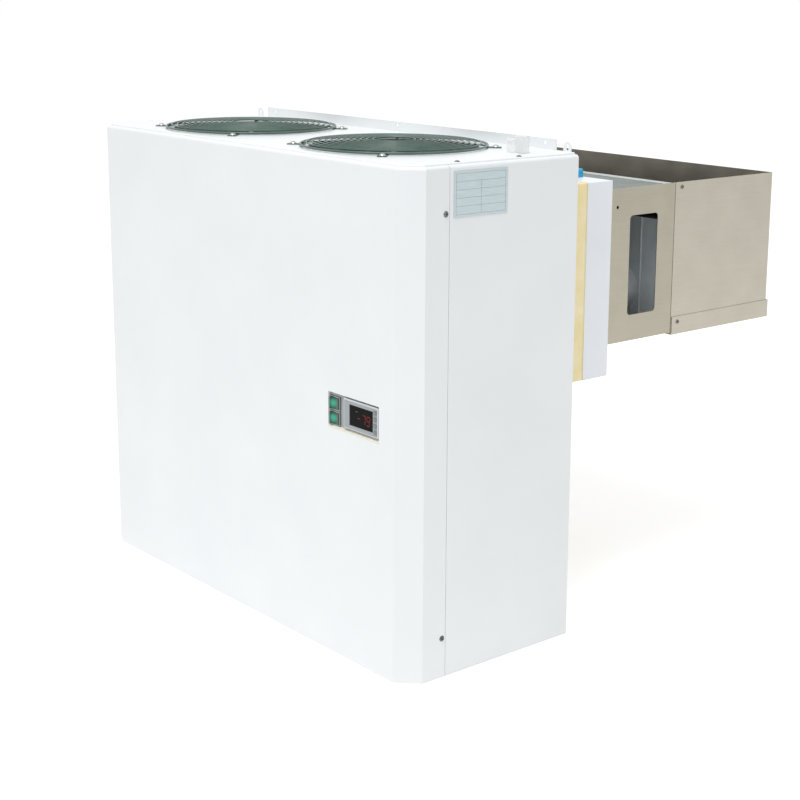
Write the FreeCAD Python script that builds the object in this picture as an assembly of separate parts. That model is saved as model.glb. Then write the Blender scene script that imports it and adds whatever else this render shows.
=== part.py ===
"""Through-wall refrigeration unit for a cold room, in millimetres.

A white sheet-metal cabinet with two condenser fans blowing up through its top hangs outside the
cold room. An insulated plug fills the hole in the wall, and a stainless evaporator box reaches
into the room behind it.

Frame: +Z is up, the control panel faces -Y, and X runs to the right seen from the front. The
origin is on the wall plane, the outer face of the rear panel, on the centre line at the base.
"""
import FreeCAD, Part

import math
import os

os.makedirs("parts", exist_ok=True)
V = FreeCAD.Vector

# Cabinet of folded sheet steel
cab_w = 840.0
cab_d = 320.0
cab_h = 746.0
cab_sheet = 1.2
corner_cut = 30.0       # legs of the 45 degree corners of the front cover
cover_return = 42.0     # side return of the cover behind each corner
shell_bend = 5.0        # outer radius of the fold at the top of the cover and sides
lip_w = 20.0            # flange that the fold ends in
top_rise = 3.0          # the top panel stands this far above those flanges
top_inset = 6.5         # and this far inside the outer faces
top_bend = 2.4
tab_w = 18.0            # joggled tab of each side panel under the cover's return
seam_gap = 1.0          # open seam between two painted panels
lap_gap = 0.2           # clearance where one sheet lies behind another

# Rear panel, its raised flange and its two hanging lugs
flange_side = 46.0      # ends of the flange inside the cabinet's sides
flange_h = 16.0
flange_hole_side = 24.0
flange_hole_r = 2.6
flange_hole_drop = 6.0
lug_w = 16.0
lug_h = 14.0
lug_inset = 23.0
lug_slot_w = 5.0
lug_slot_len = 9.0
lug_slot_rise = 1.5
rear_flange = 15.0
wall_hole_r = 4.5
wall_hole_side = 40.0
wall_hole_drop = 52.0   # upper wall holes below the plug
wall_low_z = 50.0

# Base pan with its air slots
base_z = 8.0
base_rim = 25.0
slot_w = 8.0
slot_len = 44.0
slot_pitch = 30.0
slot_count = 24
slot_inset = 58.0

# Screws
head_r = 4.5
head_h = 2.4
shank_r = 2.0
shank_len = 7.0
screw_gap = 0.1
cover_screw_back = 66.0
cover_screw_low = 60.0
cover_screw_drop = 69.0
top_screw_inset = 12.0
top_screw_front = 95.5
top_screw_pitch = 116.0

# Condenser fans, one each side of the centre line
fan_share = 19 / 42     # distance between the fans, as a share of the cabinet's width
fan_r = 125.0
fan_tip_gap = 3.0
bell_sheet = 1.2
bell_depth = 40.0
bell_flange = 8.0
fan_blades = 5
fan_blade_t = 1.6
fan_blade_pitch = 26.0
fan_blade_depth = 31.0
hub_r = 45.0
hub_depth = 30.0
shaft_r = 4.0
shaft_gap = 0.05        # radial running fit of an impeller on its shaft
motor_r = 44.0
motor_len = 62.0
arm_w = 14.0
arm_t = 3.0
arm_gap = 3.0           # from the motor's arms up to the impeller's hub

# Wire guards
guard_r = 140.0
guard_outer_wire = 1.75
guard_wire = 1.1
guard_rib = 1.2
guard_weld = 0.2        # ribs run this far into the outer ring
guard_pitch = 9.0
guard_rings = 13
guard_dome = 5.0
guard_lug_t = 1.5
guard_lug_w = 14.0
guard_lug_in = 6.0
guard_lug_out = 21.0
guard_screw_r = 5.5
guard_screw_h = 3.4
guard_screw_out = 12.5

# Finned coils of copper tube
tube_r = 4.76
tube_wall = 0.4
tube_pitch = 25.0
row_pitch = 22.0
fin_t = 0.3
fin_gap = 0.05
end_plate_t = 1.5
tube_stub = 8.0
cond_fin_count = 47
cond_side = 56.0        # ends of the fin pack inside the cabinet's sides
cond_tubes = 11
cond_rows = 3
cond_drop = 206.0       # fin pack's underside below the cabinet's top
rail = 20.0
rail_t = 1.5
rail_inset = 80.0
plenum_sheet = 1.0
evap_fin_count = 47
evap_coil_side = 46.0   # ends of the fin pack inside the evaporator's sides
evap_tubes = 7
evap_rows = 4
evap_coil_low = 18.0    # fin pack above the evaporator's floor
evap_coil_back = 64.0   # fin pack behind the fan section
evap_plate_edge = 4.0

# Compressor
comp_x = -215.0
comp_y = -160.0
comp_r = 85.0
comp_h = 240.0
comp_wall = 3.0
comp_dome = 38.0
comp_plate_t = 3.0
comp_plate_w = 196.0
comp_plate_d = 134.0
comp_foot_x = 85.0
comp_foot_y = 55.0
foot_r = 12.0
foot_h = 30.0
foot_hole_r = 4.2
core_r = 60.0
core_h = 160.0
core_lift = 30.0
core_spring_r = 7.0
core_spring_ring = 40.0
term_w = 52.0
term_h = 64.0
term_d = 24.0
term_lift = 90.0

# Liquid receiver, drier and pipes
recv_side = 75.0
recv_r = 36.0
recv_h = 200.0
recv_cap = 14.0
recv_pipe_up = 40.0
drier_left = 160.0      # drier's middle from the receiver's axis
drier_len = 110.0
drier_r = 16.0
liquid_z = 90.0
suction_r = 6.35
liquid_r = 3.2
hot_r = 4.76
pipe_gap = 0.6          # bore left round a pipe through a wall
suction_x = -60.0
liquid_x = -30.0
suction_stub_up = 157.0
hot_stub_up = 187.0
suction_under = 18.5    # suction line below the coil's lowest tubes
hot_line_out = 24.0

# Electrical box on the rear panel
elec_x = 170.0
elec_w = 220.0
elec_h = 200.0
elec_d = 80.0
elec_low_z = 40.0
elec_wall = 1.5
elec_lid_t = 1.5
strip_w = 150.0
strip_h = 26.0
strip_d = 30.0
contactor_w = 46.0
contactor_h = 80.0
contactor_d = 62.0
elec_part_edge = 30.0

# Control panel in the front cover
panel_side = 123.0      # panel's middle from the cabinet's right side
panel_drop = 368.0
panel_w = 119.0
panel_h = 50.0
panel_t = 2.0
panel_sink = 4.0        # panel behind the cover's face, inside the turned-in edges of its cut-out
panel_lap = 5.0         # panel beyond the cut-out on every side
sill_h = 3.5            # strip in the cut-out, under the panel's open height
sill_proud = 0.4
sill_gap = 0.2
ctrl_w = 80.0
ctrl_h = 44.0
ctrl_edge = 1.5         # from the panel's right edge
ctrl_proud = 0.5
ctrl_wall = 1.5
ctrl_back = 6.0         # the bezel's rim reaches this far behind the face
ctrl_depth = 50.0
window_w = 55.0
window_h = 31.0
window_shift = 1.0
pane_edge = 0.8
pane_t = 1.5
key_w = 6.0
key_h = 6.0
key_pitch = 9.5
key_count = 4
key_edge = 6.4          # key column's centre from the controller's right edge
key_proud = 0.8
key_travel = 0.8
key_gap = 0.3
key_flange = 0.8
key_flange_t = 1.0
key_back_gap = 0.4
key_stem_r = 1.5
hous_w = 25.0
hous_h = 21.4
hous_edge = 13.0        # housing's centre from the panel's left edge
hous_pitch = 22.4
hous_drop = 2.6         # middle of the two below the panel's middle
hous_rim_t = 1.5
hous_step = 0.6         # rim beyond the body that passes through the panel
hous_depth = 28.0
rock_r = 10.0
rock_h = 17.2
rock_gap = 0.4
rock_rise = 3.0
rock_end = 1.6
rock_back = 4.0
rock_swing = 9.0       # each way from level
rock_pin_r = 1.5
rock_pin_len = 0.8
rock_pivot = 2.0        # pivot behind the rim's front
rock_cavity = 12.0

# Bare data plate on the right side
plate_w = 100.0
plate_h = 65.0
plate_t = 0.6
plate_back = 79.5
plate_top = 8.0

# Clear outlet box and connector on the top panel
outlet_side = 42.0
outlet_y = -74.0
outlet_w = 16.0
outlet_d = 18.0
outlet_h = 26.0
outlet_wall = 1.5
outlet_round = 2.5
conn_w = 17.0
conn_d = 16.0
conn_h = 20.0
conn_ribs = 4
conn_rib = 1.2
cable_hole_r = 4.0
cable_rise = 20.4       # way out clears the rear panel's flange

# Insulated plug
plug_side = 25.0        # plug inside the cabinet's sides
plug_h = 304.0
plug_drop = 50.0        # and below its top
plug_len = 100.0
foam_bare = 47.0        # bare foam between the cabinet and the cladding
clad_sheet = 0.8
plug_gap = 0.5          # plug in the opening of the rear panel
backing_t = 1.5
backing_lap = 8.0
rod_r = 4.0
rod_nut_r = 7.5
rod_nut_t = 6.0
rod_inset_x = 60.0
rod_inset_z = 80.0
boot_side = 64.0
boot_w = 14.0
boot_y = 70.0
boot_len = 24.0
boot_h = 13.0

# Stainless evaporator box
evap_side = 4.0         # evaporator inside the plug's sides
evap_h = 242.0
evap_rise = 48.0        # its floor above the plug's underside
evap_sheet = 1.0
fan_sec = 148.0
coil_sec = 244.0
win_front = 46.0        # side window from the plug
win_w = 63.0
win_h = 157.0
win_low = 41.0
win_round = 6.0
cover_drop = 4.0        # fan section's lid below the side walls' top
cover_up = 3.0          # its rear edge turned up
evap_tab = 26.0
rivet_hole_r = 2.6
rivet_hole_back = 17.0
rivet_hole_low = 213.0
evap_screw_back = 16.0
evap_screw_low = 16.0
evap_screw_high = 234.0
evap_head_r = 3.6
shroud_h = 181.0
shroud_back = 135.0     # shroud plate from the plug
evap_fan_side = 236.0
evap_fan_up = 88.0
evap_fan_r = 82.0
evap_ring_gap = 3.0
evap_ring_len = 27.0
evap_hub_r = 30.0
evap_hub_len = 20.0
evap_blades = 5
evap_blade_t = 1.4
evap_blade_pitch = 28.0
evap_blade_gap = 3.0
evap_motor_r = 41.0
evap_motor_len = 56.0
evap_shaft_r = 3.0
post_w = 12.0
post_t = 6.0
post_x = 49.0
strap_t = 2.0
strap_h = 30.0
junction_r = 40.0       # round junction box on the shroud, by the right window
junction_d = 35.0
junction_side = 103.0
junction_up = 64.0
conduit_r = 1.5
conduit_side = 56.0
seal_t = 5.0
seal_d = 12.0
tray_start = 2.0        # tray's front edge behind the fan section
tray_drop = 4.0
tray_h = 29.0
tray_lip = 3.6
tray_over = 3.0         # tray beyond the end wall
drain_r = 8.0
drain_wall = 1.5
drain_len = 38.0
drain_y = 330.0
heater_r = 4.0
heater_drop = 8.0       # heater below the fin pack
heater_count = 2

# Places worked out from the sizes above
half_w = cab_w / 2
flange_w = cab_w - 2 * flange_side
flange_pitch = flange_w / 2 - flange_hole_side
fan_pitch = cab_w * fan_share
cond_low_z = cab_h - cond_drop
recv_x = half_w - recv_side
drier_x = recv_x - drier_left
panel_x = half_w - panel_side
panel_z = cab_h - panel_drop
outlet_x = half_w - outlet_side
plug_w = cab_w - 2 * plug_side
plug_low_z = cab_h - plug_drop - plug_h
boot_x = plug_w / 2 - boot_side
wall_pitch_x = cab_w - 2 * wall_hole_side
wall_pitch_z = plug_low_z - wall_hole_drop - wall_low_z
cover_screw_high = cab_h - cover_screw_drop
evap_w = plug_w - 2 * evap_side
evap_low_z = plug_low_z + evap_rise
front_y = -cab_d
mid_y = -cab_d / 2
seam_y = front_y + corner_cut + cover_return
shell_h = cab_h - top_rise
rear_inner = -cab_sheet
tab_in = 2 * cab_sheet + lap_gap
pan_top = base_z + cab_sheet
top_under = cab_h - cab_sheet
bell_r = fan_r + fan_tip_gap
bell_low = top_under - bell_depth
arm_low = bell_low - arm_t
hub_low = bell_low + arm_gap
cond_half = half_w - cond_side
cond_depth = cond_tubes * tube_pitch
cond_high_z = cond_low_z + cond_rows * row_pitch
cond_end = cond_half + fin_t / 2 + end_plate_t + tube_stub
evap_half_w = evap_w / 2
evap_inner = evap_half_w - evap_sheet
evap_top = evap_low_z + evap_h
evap_floor = evap_low_z + evap_sheet
seam2_y = plug_len + fan_sec
evap_end_y = seam2_y + coil_sec
coil_y = seam2_y + evap_coil_back
coil_z = evap_low_z + evap_coil_low
evap_half = evap_half_w - evap_coil_side
evap_coil_h = evap_tubes * tube_pitch
evap_coil_d = evap_rows * row_pitch
evap_coil_end = evap_half + fin_t / 2 + end_plate_t + tube_stub
evap_fan_x = evap_half_w - evap_fan_side
evap_fan_z = evap_low_z + evap_fan_up
shroud_y = plug_len + shroud_back
shroud_top = evap_floor + shroud_h
tray_y = seam2_y + tray_start
tray_z = evap_low_z - tray_drop
comp_low = pan_top + foot_h + comp_plate_t


# Solids and how they are put together


def box(x0, x1, y0, y1, z0, z1):
    low = V(min(x0, x1), min(y0, y1), min(z0, z1))
    return Part.makeBox(abs(x1 - x0), abs(y1 - y0), abs(z1 - z0), low)


def rod(radius, length, at, way=V(0, 0, 1)):
    return Part.makeCylinder(radius, length, at, way)


def ring(outer, inner, length, at, way=V(0, 0, 1)):
    return rod(outer, length, at, way).cut(rod(inner, length, at, way))


def prism(points, z0, z1):
    corners = [V(x, y, z0) for x, y in points]
    face = Part.Face(Part.makePolygon(corners + corners[:1]))
    return face.extrude(V(0, 0, z1 - z0))


def fuse(shapes):
    return shapes[0].multiFuse(shapes[1:]).removeSplitter()


def round_off(shape, radius, wanted):
    edges = [e for e in shape.Edges if wanted(e.CenterOfMass, e)]
    return shape.makeFillet(radius, edges)


def along(edge, axis):
    way = edge.tangentAt(edge.FirstParameter)
    return abs(abs(way.dot(axis)) - 1) < 1e-6


def near(a, b):
    return abs(a - b) < 1e-3


def block(x0, x1, y0, y1, z0, z1, radius, axis):
    """A box whose four edges along one axis are rounded."""
    return round_off(box(x0, x1, y0, y1, z0, z1), radius, lambda c, e: along(e, axis))


def pipe(points, radius, bend):
    """A round tube along straight runs joined by tangent arcs."""
    spots = [V(*p) for p in points]
    edges = []
    start = spots[0]
    for before, corner, after in zip(spots, spots[1:], spots[2:]):
        u = (before - corner).normalize()
        w = (after - corner).normalize()
        half = u.getAngle(w) / 2
        first = corner + u * (bend / math.tan(half))
        last = corner + w * (bend / math.tan(half))
        axis = (u + w).normalize()
        middle = corner + axis * (bend / math.sin(half) - bend)
        edges.append(Part.LineSegment(start, first).toShape())
        edges.append(Part.Arc(first, middle, last).toShape())
        start = last
    edges.append(Part.LineSegment(start, spots[-1]).toShape())
    spine = Part.Wire(edges)
    solids = []
    for r in (radius, radius - tube_wall * 2):
        circle = Part.Circle(spots[0], spots[1] - spots[0], r).toShape()
        solids.append(spine.makePipeShell([Part.Wire([circle])], True, False))
    return solids[0].cut(solids[1])


def save(node, shapes):
    solids = [s for shape in shapes for s in shape.Solids]
    whole = solids[0] if len(solids) == 1 else Part.makeCompound(solids)
    whole.exportStep("parts/" + node + ".step")


def pair(make):
    """The same piece on the left and on the right."""
    return [make(-1), make(1)]


# Cabinet shell


def plan(inset, back_y):
    """The cabinet's outline seen from above, moved in by an inset, with its cut front corners."""
    side = half_w - inset
    cut = corner_cut + inset * (math.sqrt(2) - 1)
    right = [(side, back_y), (side, front_y + cut), (half_w - cut, front_y + inset)]
    left = [(-x, y) for x, y in reversed(right)]
    return right + left


def rounded_top(solid, radius, z, back_y):
    return round_off(solid, radius, lambda c, e: near(c.z, z) and c.y < back_y - 1)


def panel_cutout(grow, y0, y1):
    """The control panel's cut-out in the front cover, grown all round."""
    return box(panel_left() - grow, panel_left() + panel_w + grow, y0, y1,
               panel_z - panel_h / 2 - sill_h - grow, panel_z + panel_h / 2 + grow)


def front_cover():
    inner_bend = shell_bend - cab_sheet
    outer = rounded_top(prism(plan(0, seam_y), 0, shell_h), shell_bend, shell_h, seam_y)
    core = prism(plan(cab_sheet, seam_y + 1), -1, shell_h - cab_sheet)
    core = rounded_top(core, inner_bend, shell_h - cab_sheet, seam_y)
    shell = outer.cut(core)
    shell = shell.cut(prism(plan(lip_w, seam_y + 1), shell_h - 2 * cab_sheet, shell_h + 1))
    for side in (-1, 1):
        for z in (cover_screw_low, cover_screw_high):
            shell = shell.cut(cover_screw_bore(side, z))
    shell = shell.fuse(panel_cutout(cab_sheet, front_y, front_y + panel_sink)).removeSplitter()
    return shell.cut(panel_cutout(0, front_y - 1, front_y + panel_sink + 1))


def cover_screw_bore(side, z):
    at = V(side * (half_w - tab_in - 1), front_y + cover_screw_back, z)
    return rod(shank_r + screw_gap, tab_in + 2, at, V(side, 0, 0))


def side_panel(side):
    x = side * half_w
    front = seam_y + seam_gap
    outer = box(x - side * lip_w, x, front, 0, 0, shell_h)
    outer = round_off(outer, shell_bend,
                      lambda c, e: along(e, V(0, 1, 0)) and near(c.x, x) and near(c.z, shell_h))
    inner_x = x - side * cab_sheet
    inner = box(x - side * (lip_w + 1), inner_x, front - 1, 1, -1, shell_h - cab_sheet)
    inner = round_off(inner, shell_bend - cab_sheet,
                      lambda c, e: along(e, V(0, 1, 0)) and near(c.x, inner_x) and c.z > 1)
    tab_top = shell_h - shell_bend - cab_sheet
    joggle = box(x - side * tab_in, x, front, front + cab_sheet, 0, tab_top)
    tab = box(x - side * tab_in, x - side * (cab_sheet + lap_gap), seam_y - tab_w,
              front + cab_sheet, 0, tab_top)
    panel = fuse([outer.cut(inner), joggle, tab])
    for z in (cover_screw_low, cover_screw_high):
        panel = panel.cut(cover_screw_bore(side, z))
    for y in top_screw_rows():
        panel = panel.cut(top_screw_bore(side, y))
    return panel


def rear_edge():
    return half_w - cab_sheet - lap_gap


def slot_prism(x, z0, z1, width):
    """An upright slot with round ends, through the rear panel."""
    r = width / 2
    ends = [rod(r, cab_sheet + 2, V(x, -cab_sheet - 1, z), V(0, 1, 0)) for z in (z0 + r, z1 - r)]
    middle = box(x - r, x + r, -cab_sheet - 1, 1, z0 + r, z1 - r)
    return fuse(ends + [middle])


def lug(side):
    x = side * (half_w - lug_inset)
    top = rod(lug_w / 2, cab_sheet, V(x, -cab_sheet, cab_h + lug_h - lug_w / 2), V(0, 1, 0))
    stem = box(x - lug_w / 2, x + lug_w / 2, -cab_sheet, 0, shell_h - lip_w,
               cab_h + lug_h - lug_w / 2)
    return top.fuse(stem)


def rear_panel():
    edge = rear_edge()
    shoulder = half_w - lip_w - lap_gap
    sheets = [box(-edge, edge, -cab_sheet, 0, 0, shell_h - shell_bend - lap_gap),
              box(-shoulder, shoulder, -cab_sheet, 0, 0, cab_h),
              box(-flange_w / 2, flange_w / 2, -cab_sheet, 0, 0, cab_h + flange_h)]
    for side in (-1, 1):
        sheets.append(lug(side))
        sheets.append(box(side * edge, side * (edge - cab_sheet), -rear_flange, 0, 0,
                          shell_h - shell_bend - lap_gap))
    panel = fuse(sheets)
    half = plug_w / 2 + plug_gap
    cuts = [box(-half, half, -cab_sheet - 1, 1, plug_low_z - plug_gap,
                plug_low_z + plug_h + plug_gap)]
    for x in (-flange_pitch, 0, flange_pitch):
        z = cab_h + flange_h - flange_hole_drop
        cuts.append(rod(flange_hole_r, cab_sheet + 2, V(x, -cab_sheet - 1, z), V(0, 1, 0)))
    for side in (-1, 1):
        low = cab_h + lug_slot_rise
        cuts.append(slot_prism(side * (half_w - lug_inset), low, low + lug_slot_len, lug_slot_w))
        for z in (wall_low_z, wall_low_z + wall_pitch_z):
            at = V(side * wall_pitch_x / 2, -cab_sheet - 1, z)
            cuts.append(rod(wall_hole_r, cab_sheet + 2, at, V(0, 1, 0)))
    return panel.cut(Part.makeCompound(cuts))


def base_pan():
    inset = tab_in + lap_gap
    back = rear_inner - lap_gap
    rim = prism(plan(inset, back), base_z, base_z + base_rim)
    hollow = prism(plan(inset + cab_sheet, back - cab_sheet), pan_top, base_z + base_rim + 1)
    pan = rim.cut(hollow)
    slots = []
    for y in (front_y + slot_inset, -slot_inset):
        for i in range(slot_count):
            x = (i - (slot_count - 1) / 2) * slot_pitch
            slots.append(box(x - slot_w / 2, x + slot_w / 2, y - slot_len / 2, y + slot_len / 2,
                             base_z - 1, pan_top + 1))
    for x, y in comp_feet():
        slots.append(rod(foot_hole_r, cab_sheet + 2, V(x, y, base_z - 1)))
    return pan.cut(Part.makeCompound(slots))


def fan_centres():
    return [(-fan_pitch / 2, mid_y), (fan_pitch / 2, mid_y)]


def top_screw_rows():
    return (front_y + top_screw_front, front_y + top_screw_front + top_screw_pitch)


def top_screw_bore(side, y):
    at = V(side * (half_w - top_screw_inset), y, shell_h - cab_sheet - 1)
    return rod(shank_r + screw_gap, cab_h - shell_h + cab_sheet + 2, at)


def guard_screw_spots(x, y):
    reach = (guard_r + guard_screw_out) / math.sqrt(2)
    return [(x + i * reach, y + j * reach) for i in (-1, 1) for j in (-1, 1)]


def top_panel():
    back = rear_inner - lap_gap
    outer = rounded_top(prism(plan(top_inset, back), shell_h, cab_h), top_bend, cab_h, back)
    core = prism(plan(top_inset + cab_sheet, back + 1), shell_h - 1, top_under)
    core = rounded_top(core, top_bend - cab_sheet, top_under, back)
    panel = outer.cut(core)
    cuts = []
    for x, y in fan_centres():
        cuts.append(rod(bell_r, 10, V(x, y, top_under - 2)))
        for sx, sy in guard_screw_spots(x, y):
            cuts.append(rod(shank_r + screw_gap, 10, V(sx, sy, top_under - 2)))
    cuts += [top_screw_bore(side, y) for side in (-1, 1) for y in top_screw_rows()]
    cuts.append(rod(cable_hole_r, 10, V(outlet_x, outlet_y, top_under - 2)))
    return panel.cut(Part.makeCompound(cuts))


# Screws with low domed heads


def screw(at, out, radius, height, shank):
    """A domed head standing on a surface at a point, with its shank going in."""
    ball = (radius ** 2 + height ** 2) / (2 * height)
    dome = Part.makeSphere(ball, at - out * (ball - height))
    head = dome.common(rod(radius, height + 1, at, out))
    return head.fuse(rod(shank_r, shank, at - out * shank, out)).removeSplitter()


def cabinet_screws():
    screws = []
    for side in (-1, 1):
        for z in (cover_screw_low, cover_screw_high):
            at = V(side * half_w, front_y + cover_screw_back, z)
            screws.append(screw(at, V(side, 0, 0), head_r, head_h, shank_len))
        for y in top_screw_rows():
            at = V(side * (half_w - top_screw_inset), y, cab_h)
            screws.append(screw(at, V(0, 0, 1), head_r, head_h, shank_len))
    for x, y in fan_centres():
        for sx, sy in guard_screw_spots(x, y):
            at = V(sx, sy, cab_h + guard_lug_t)
            screws.append(screw(at, V(0, 0, 1), guard_screw_r, guard_screw_h,
                                guard_lug_t + shank_len))
    return screws


# Condenser fans


def guard(x, y):
    outer_z = cab_h + guard_lug_t + guard_outer_wire
    ball = (guard_r ** 2 + guard_dome ** 2) / (2 * guard_dome)
    ball_z = outer_z + guard_dome - ball
    wires = [Part.makeTorus(guard_r, guard_outer_wire, V(x, y, outer_z))]
    for i in range(1, guard_rings):
        r = guard_r - i * guard_pitch
        z = ball_z + math.sqrt((ball + guard_wire + guard_rib) ** 2 - r ** 2)
        wires.append(Part.makeTorus(r, guard_wire, V(x, y, z)))
    inner = guard_r - (guard_rings - 1) * guard_pitch - guard_rib
    for i in range(4):
        angle = math.radians(45 + 90 * i)
        out = V(math.cos(angle), math.sin(angle), 0)
        stops = []
        for r in (inner, guard_r / 2, guard_r - guard_outer_wire + guard_weld):
            stops.append(V(x, y, ball_z + math.sqrt(ball ** 2 - r ** 2)) + out * r)
        arc = Part.Arc(*stops).toShape()
        tip = Part.Circle(stops[0], arc.tangentAt(arc.FirstParameter), guard_rib).toShape()
        wires.append(Part.Wire([arc]).makePipeShell([Part.Wire([tip])], True, True))
        plate = box(guard_r - guard_lug_in, guard_r + guard_lug_out, -guard_lug_w / 2,
                    guard_lug_w / 2, 0, guard_lug_t)
        bore = rod(shank_r + screw_gap, guard_lug_t, V(guard_r + guard_screw_out, 0, 0))
        plate = plate.cut(bore)
        plate.rotate(V(0, 0, 0), V(0, 0, 1), math.degrees(angle))
        plate.translate(V(x, y, cab_h))
        wires.append(plate)
    return wires


def bell_mouth(x, y):
    wall = ring(bell_r + bell_sheet, bell_r, bell_depth, V(x, y, bell_low))
    rim = ring(bell_r + bell_flange, bell_r, bell_sheet, V(x, y, top_under - bell_sheet))
    return wall.fuse(rim).removeSplitter()


def impeller(radius, hub, depth, hub_len, blades, thick, pitch, shaft):
    """An axial impeller on +Z, its hub's base at the origin."""
    chord = depth / math.sin(math.radians(pitch))
    body = rod(hub, hub_len, V(0, 0, 0))
    span = ring(radius, hub - 1, hub_len, V(0, 0, 0))
    parts = [body]
    for i in range(blades):
        slab = box(0, radius + 1, -chord, chord, -thick / 2, thick / 2)
        slab.rotate(V(0, 0, 0), V(1, 0, 0), pitch)
        slab.translate(V(0, 0, hub_len / 2))
        slab.rotate(V(0, 0, 0), V(0, 0, 1), 360.0 * i / blades)
        blade = slab.common(span)
        trim = box(0, radius + 1, -chord, chord, (hub_len - depth) / 2, (hub_len + depth) / 2)
        parts.append(blade.common(trim) if depth < hub_len else blade)
    wheel = fuse(parts)
    return wheel.cut(rod(shaft + shaft_gap, hub_len, V(0, 0, 0)))


def condenser_impeller(x, y):
    wheel = impeller(fan_r, hub_r, fan_blade_depth, hub_depth, fan_blades, fan_blade_t,
                     fan_blade_pitch, shaft_r)
    wheel.translate(V(x, y, hub_low))
    return wheel


def condenser_motor(x, y):
    """Motor can, its four arms out to the bell mouth, and its shaft."""
    can = rod(motor_r, motor_len, V(x, y, arm_low - motor_len))
    can = round_off(can, 3.0, lambda c, e: near(c.z, arm_low - motor_len))
    arms = []
    for i in range(4):
        arm = box(motor_r / 2, bell_r + bell_sheet, -arm_w / 2, arm_w / 2, 0, arm_t)
        arm.rotate(V(0, 0, 0), V(0, 0, 1), 90.0 * i)
        arm.translate(V(x, y, arm_low))
        arms.append(arm)
    boss = rod(motor_r / 2 + arm_w / 2, arm_t, V(x, y, arm_low))
    shaft = rod(shaft_r, hub_depth + arm_t + arm_gap + 2, V(x, y, arm_low))
    return fuse([can, boss, shaft] + arms)


def plenum():
    """Four sheet walls that guide the air from the coil to the two fans."""
    x = cond_half + fin_t / 2 + end_plate_t
    y = cond_depth / 2
    s = plenum_sheet
    outer = box(-x - s, x + s, mid_y - y - s, mid_y + y + s, cond_high_z, top_under)
    return outer.cut(box(-x, x, mid_y - y, mid_y + y, cond_high_z, top_under))


# Finned coils


def snake(columns, rows):
    """Tube places in the order the refrigerant meets them, up one row and down the next."""
    order = []
    for row in range(rows):
        run = range(columns) if row % 2 == 0 else reversed(range(columns))
        order += [(column, row) for column in run]
    return order


def tube_face(at):
    outer = Part.Wire([Part.Circle(at, V(1, 0, 0), tube_r).toShape()])
    inner = Part.Wire([Part.Circle(at, V(1, 0, 0), tube_r - tube_wall).toShape()])
    return Part.Face([outer, inner])


def coil_tubes(spots, end):
    """Straight tubes along X with a return bend between each and the next, on alternate ends."""
    solids = []
    for y, z in spots:
        solids.append(tube_face(V(-end, y, z)).extrude(V(2 * end, 0, 0)))
    for i, (a, b) in enumerate(zip(spots, spots[1:])):
        side = 1 if i % 2 == 0 else -1
        start = V(side * end, *a)
        half = V(0, b[0] - a[0], b[1] - a[1]) * 0.5
        axis = V(side, 0, 0).cross(half)
        solids.append(tube_face(start).revolve(start + half, axis, 180))
    return solids


def tube_bores(spots, x0, x1, gap):
    return Part.makeCompound([rod(tube_r + gap, x1 - x0, V(x0, y, z), V(1, 0, 0))
                              for y, z in spots])


def fin_pack(spots, count, first, y0, y1, z0, z1):
    """Thin plates across the tubes from x = first: one is cut, and the rest are copies of it."""
    plate = box(first - fin_t / 2, first + fin_t / 2, y0, y1, z0, z1)
    plate = plate.cut(tube_bores(spots, first - fin_t, first + fin_t, fin_gap))
    fins = []
    for i in range(count):
        fin = plate.copy()
        fin.translate(V(-2 * first * i / (count - 1), 0, 0))
        fins.append(fin)
    return fins


def cond_spots():
    places = []
    for column, row in snake(cond_tubes, cond_rows):
        y = mid_y + (column - (cond_tubes - 1) / 2) * tube_pitch
        places.append((y, cond_high_z - (row + 0.5) * row_pitch))
    return places


def evap_spots():
    places = []
    for column, row in snake(evap_tubes, evap_rows):
        places.append((coil_y + (row + 0.5) * row_pitch, coil_z + (column + 0.5) * tube_pitch))
    return places


def condenser_fins():
    return fin_pack(cond_spots(), cond_fin_count, -cond_half, mid_y - cond_depth / 2,
                    mid_y + cond_depth / 2, cond_low_z, cond_high_z)


def evaporator_fins():
    return fin_pack(evap_spots(), evap_fin_count, -evap_half, coil_y, coil_y + evap_coil_d, coil_z,
                    coil_z + evap_coil_h)


def condenser_frame():
    """The two end plates of the coil and the two angles that carry them across the cabinet."""
    pieces = []
    inner = cond_half + fin_t / 2
    for side in (-1, 1):
        x0, x1 = sorted((side * inner, side * (inner + end_plate_t)))
        plate = box(x0, x1, mid_y - cond_depth / 2, mid_y + cond_depth / 2, cond_low_z,
                    cond_high_z)
        pieces.append(plate.cut(tube_bores(cond_spots(), x0 - 1, x1 + 1, fin_gap)))
    reach = rear_edge()
    for side in (-1, 1):
        y = mid_y + side * rail_inset
        flat = box(-reach, reach, y - rail / 2, y + rail / 2, cond_low_z - rail_t, cond_low_z)
        leg = box(-reach, reach, y - side * rail / 2, y - side * (rail / 2 - rail_t),
                  cond_low_z - rail, cond_low_z)
        pieces.append(flat.fuse(leg).removeSplitter())
    return pieces


def evaporator_end_plates():
    """End plates that stand in the drain tray, with a flange out to each side wall."""
    inner = evap_half + fin_t / 2
    edge = evap_plate_edge
    top = coil_z + evap_coil_h + edge

    def plate(side):
        x0, x1 = sorted((side * inner, side * (inner + end_plate_t)))
        sheet = box(x0, x1, coil_y - edge, coil_y + evap_coil_d + edge, tray_z + evap_sheet, top)
        sheet = sheet.cut(tube_bores(evap_spots(), x0 - 1, x1 + 1, fin_gap))
        shelf = box(side * inner, side * (evap_inner - lap_gap), coil_y - edge,
                    coil_y + evap_coil_d + edge, top - end_plate_t, top)
        return sheet.fuse(shelf).removeSplitter()
    return pair(plate)


# Compressor


def comp_feet():
    return [(comp_x + i * comp_foot_x, comp_y + j * comp_foot_y) for i in (-1, 1) for j in (-1, 1)]


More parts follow.
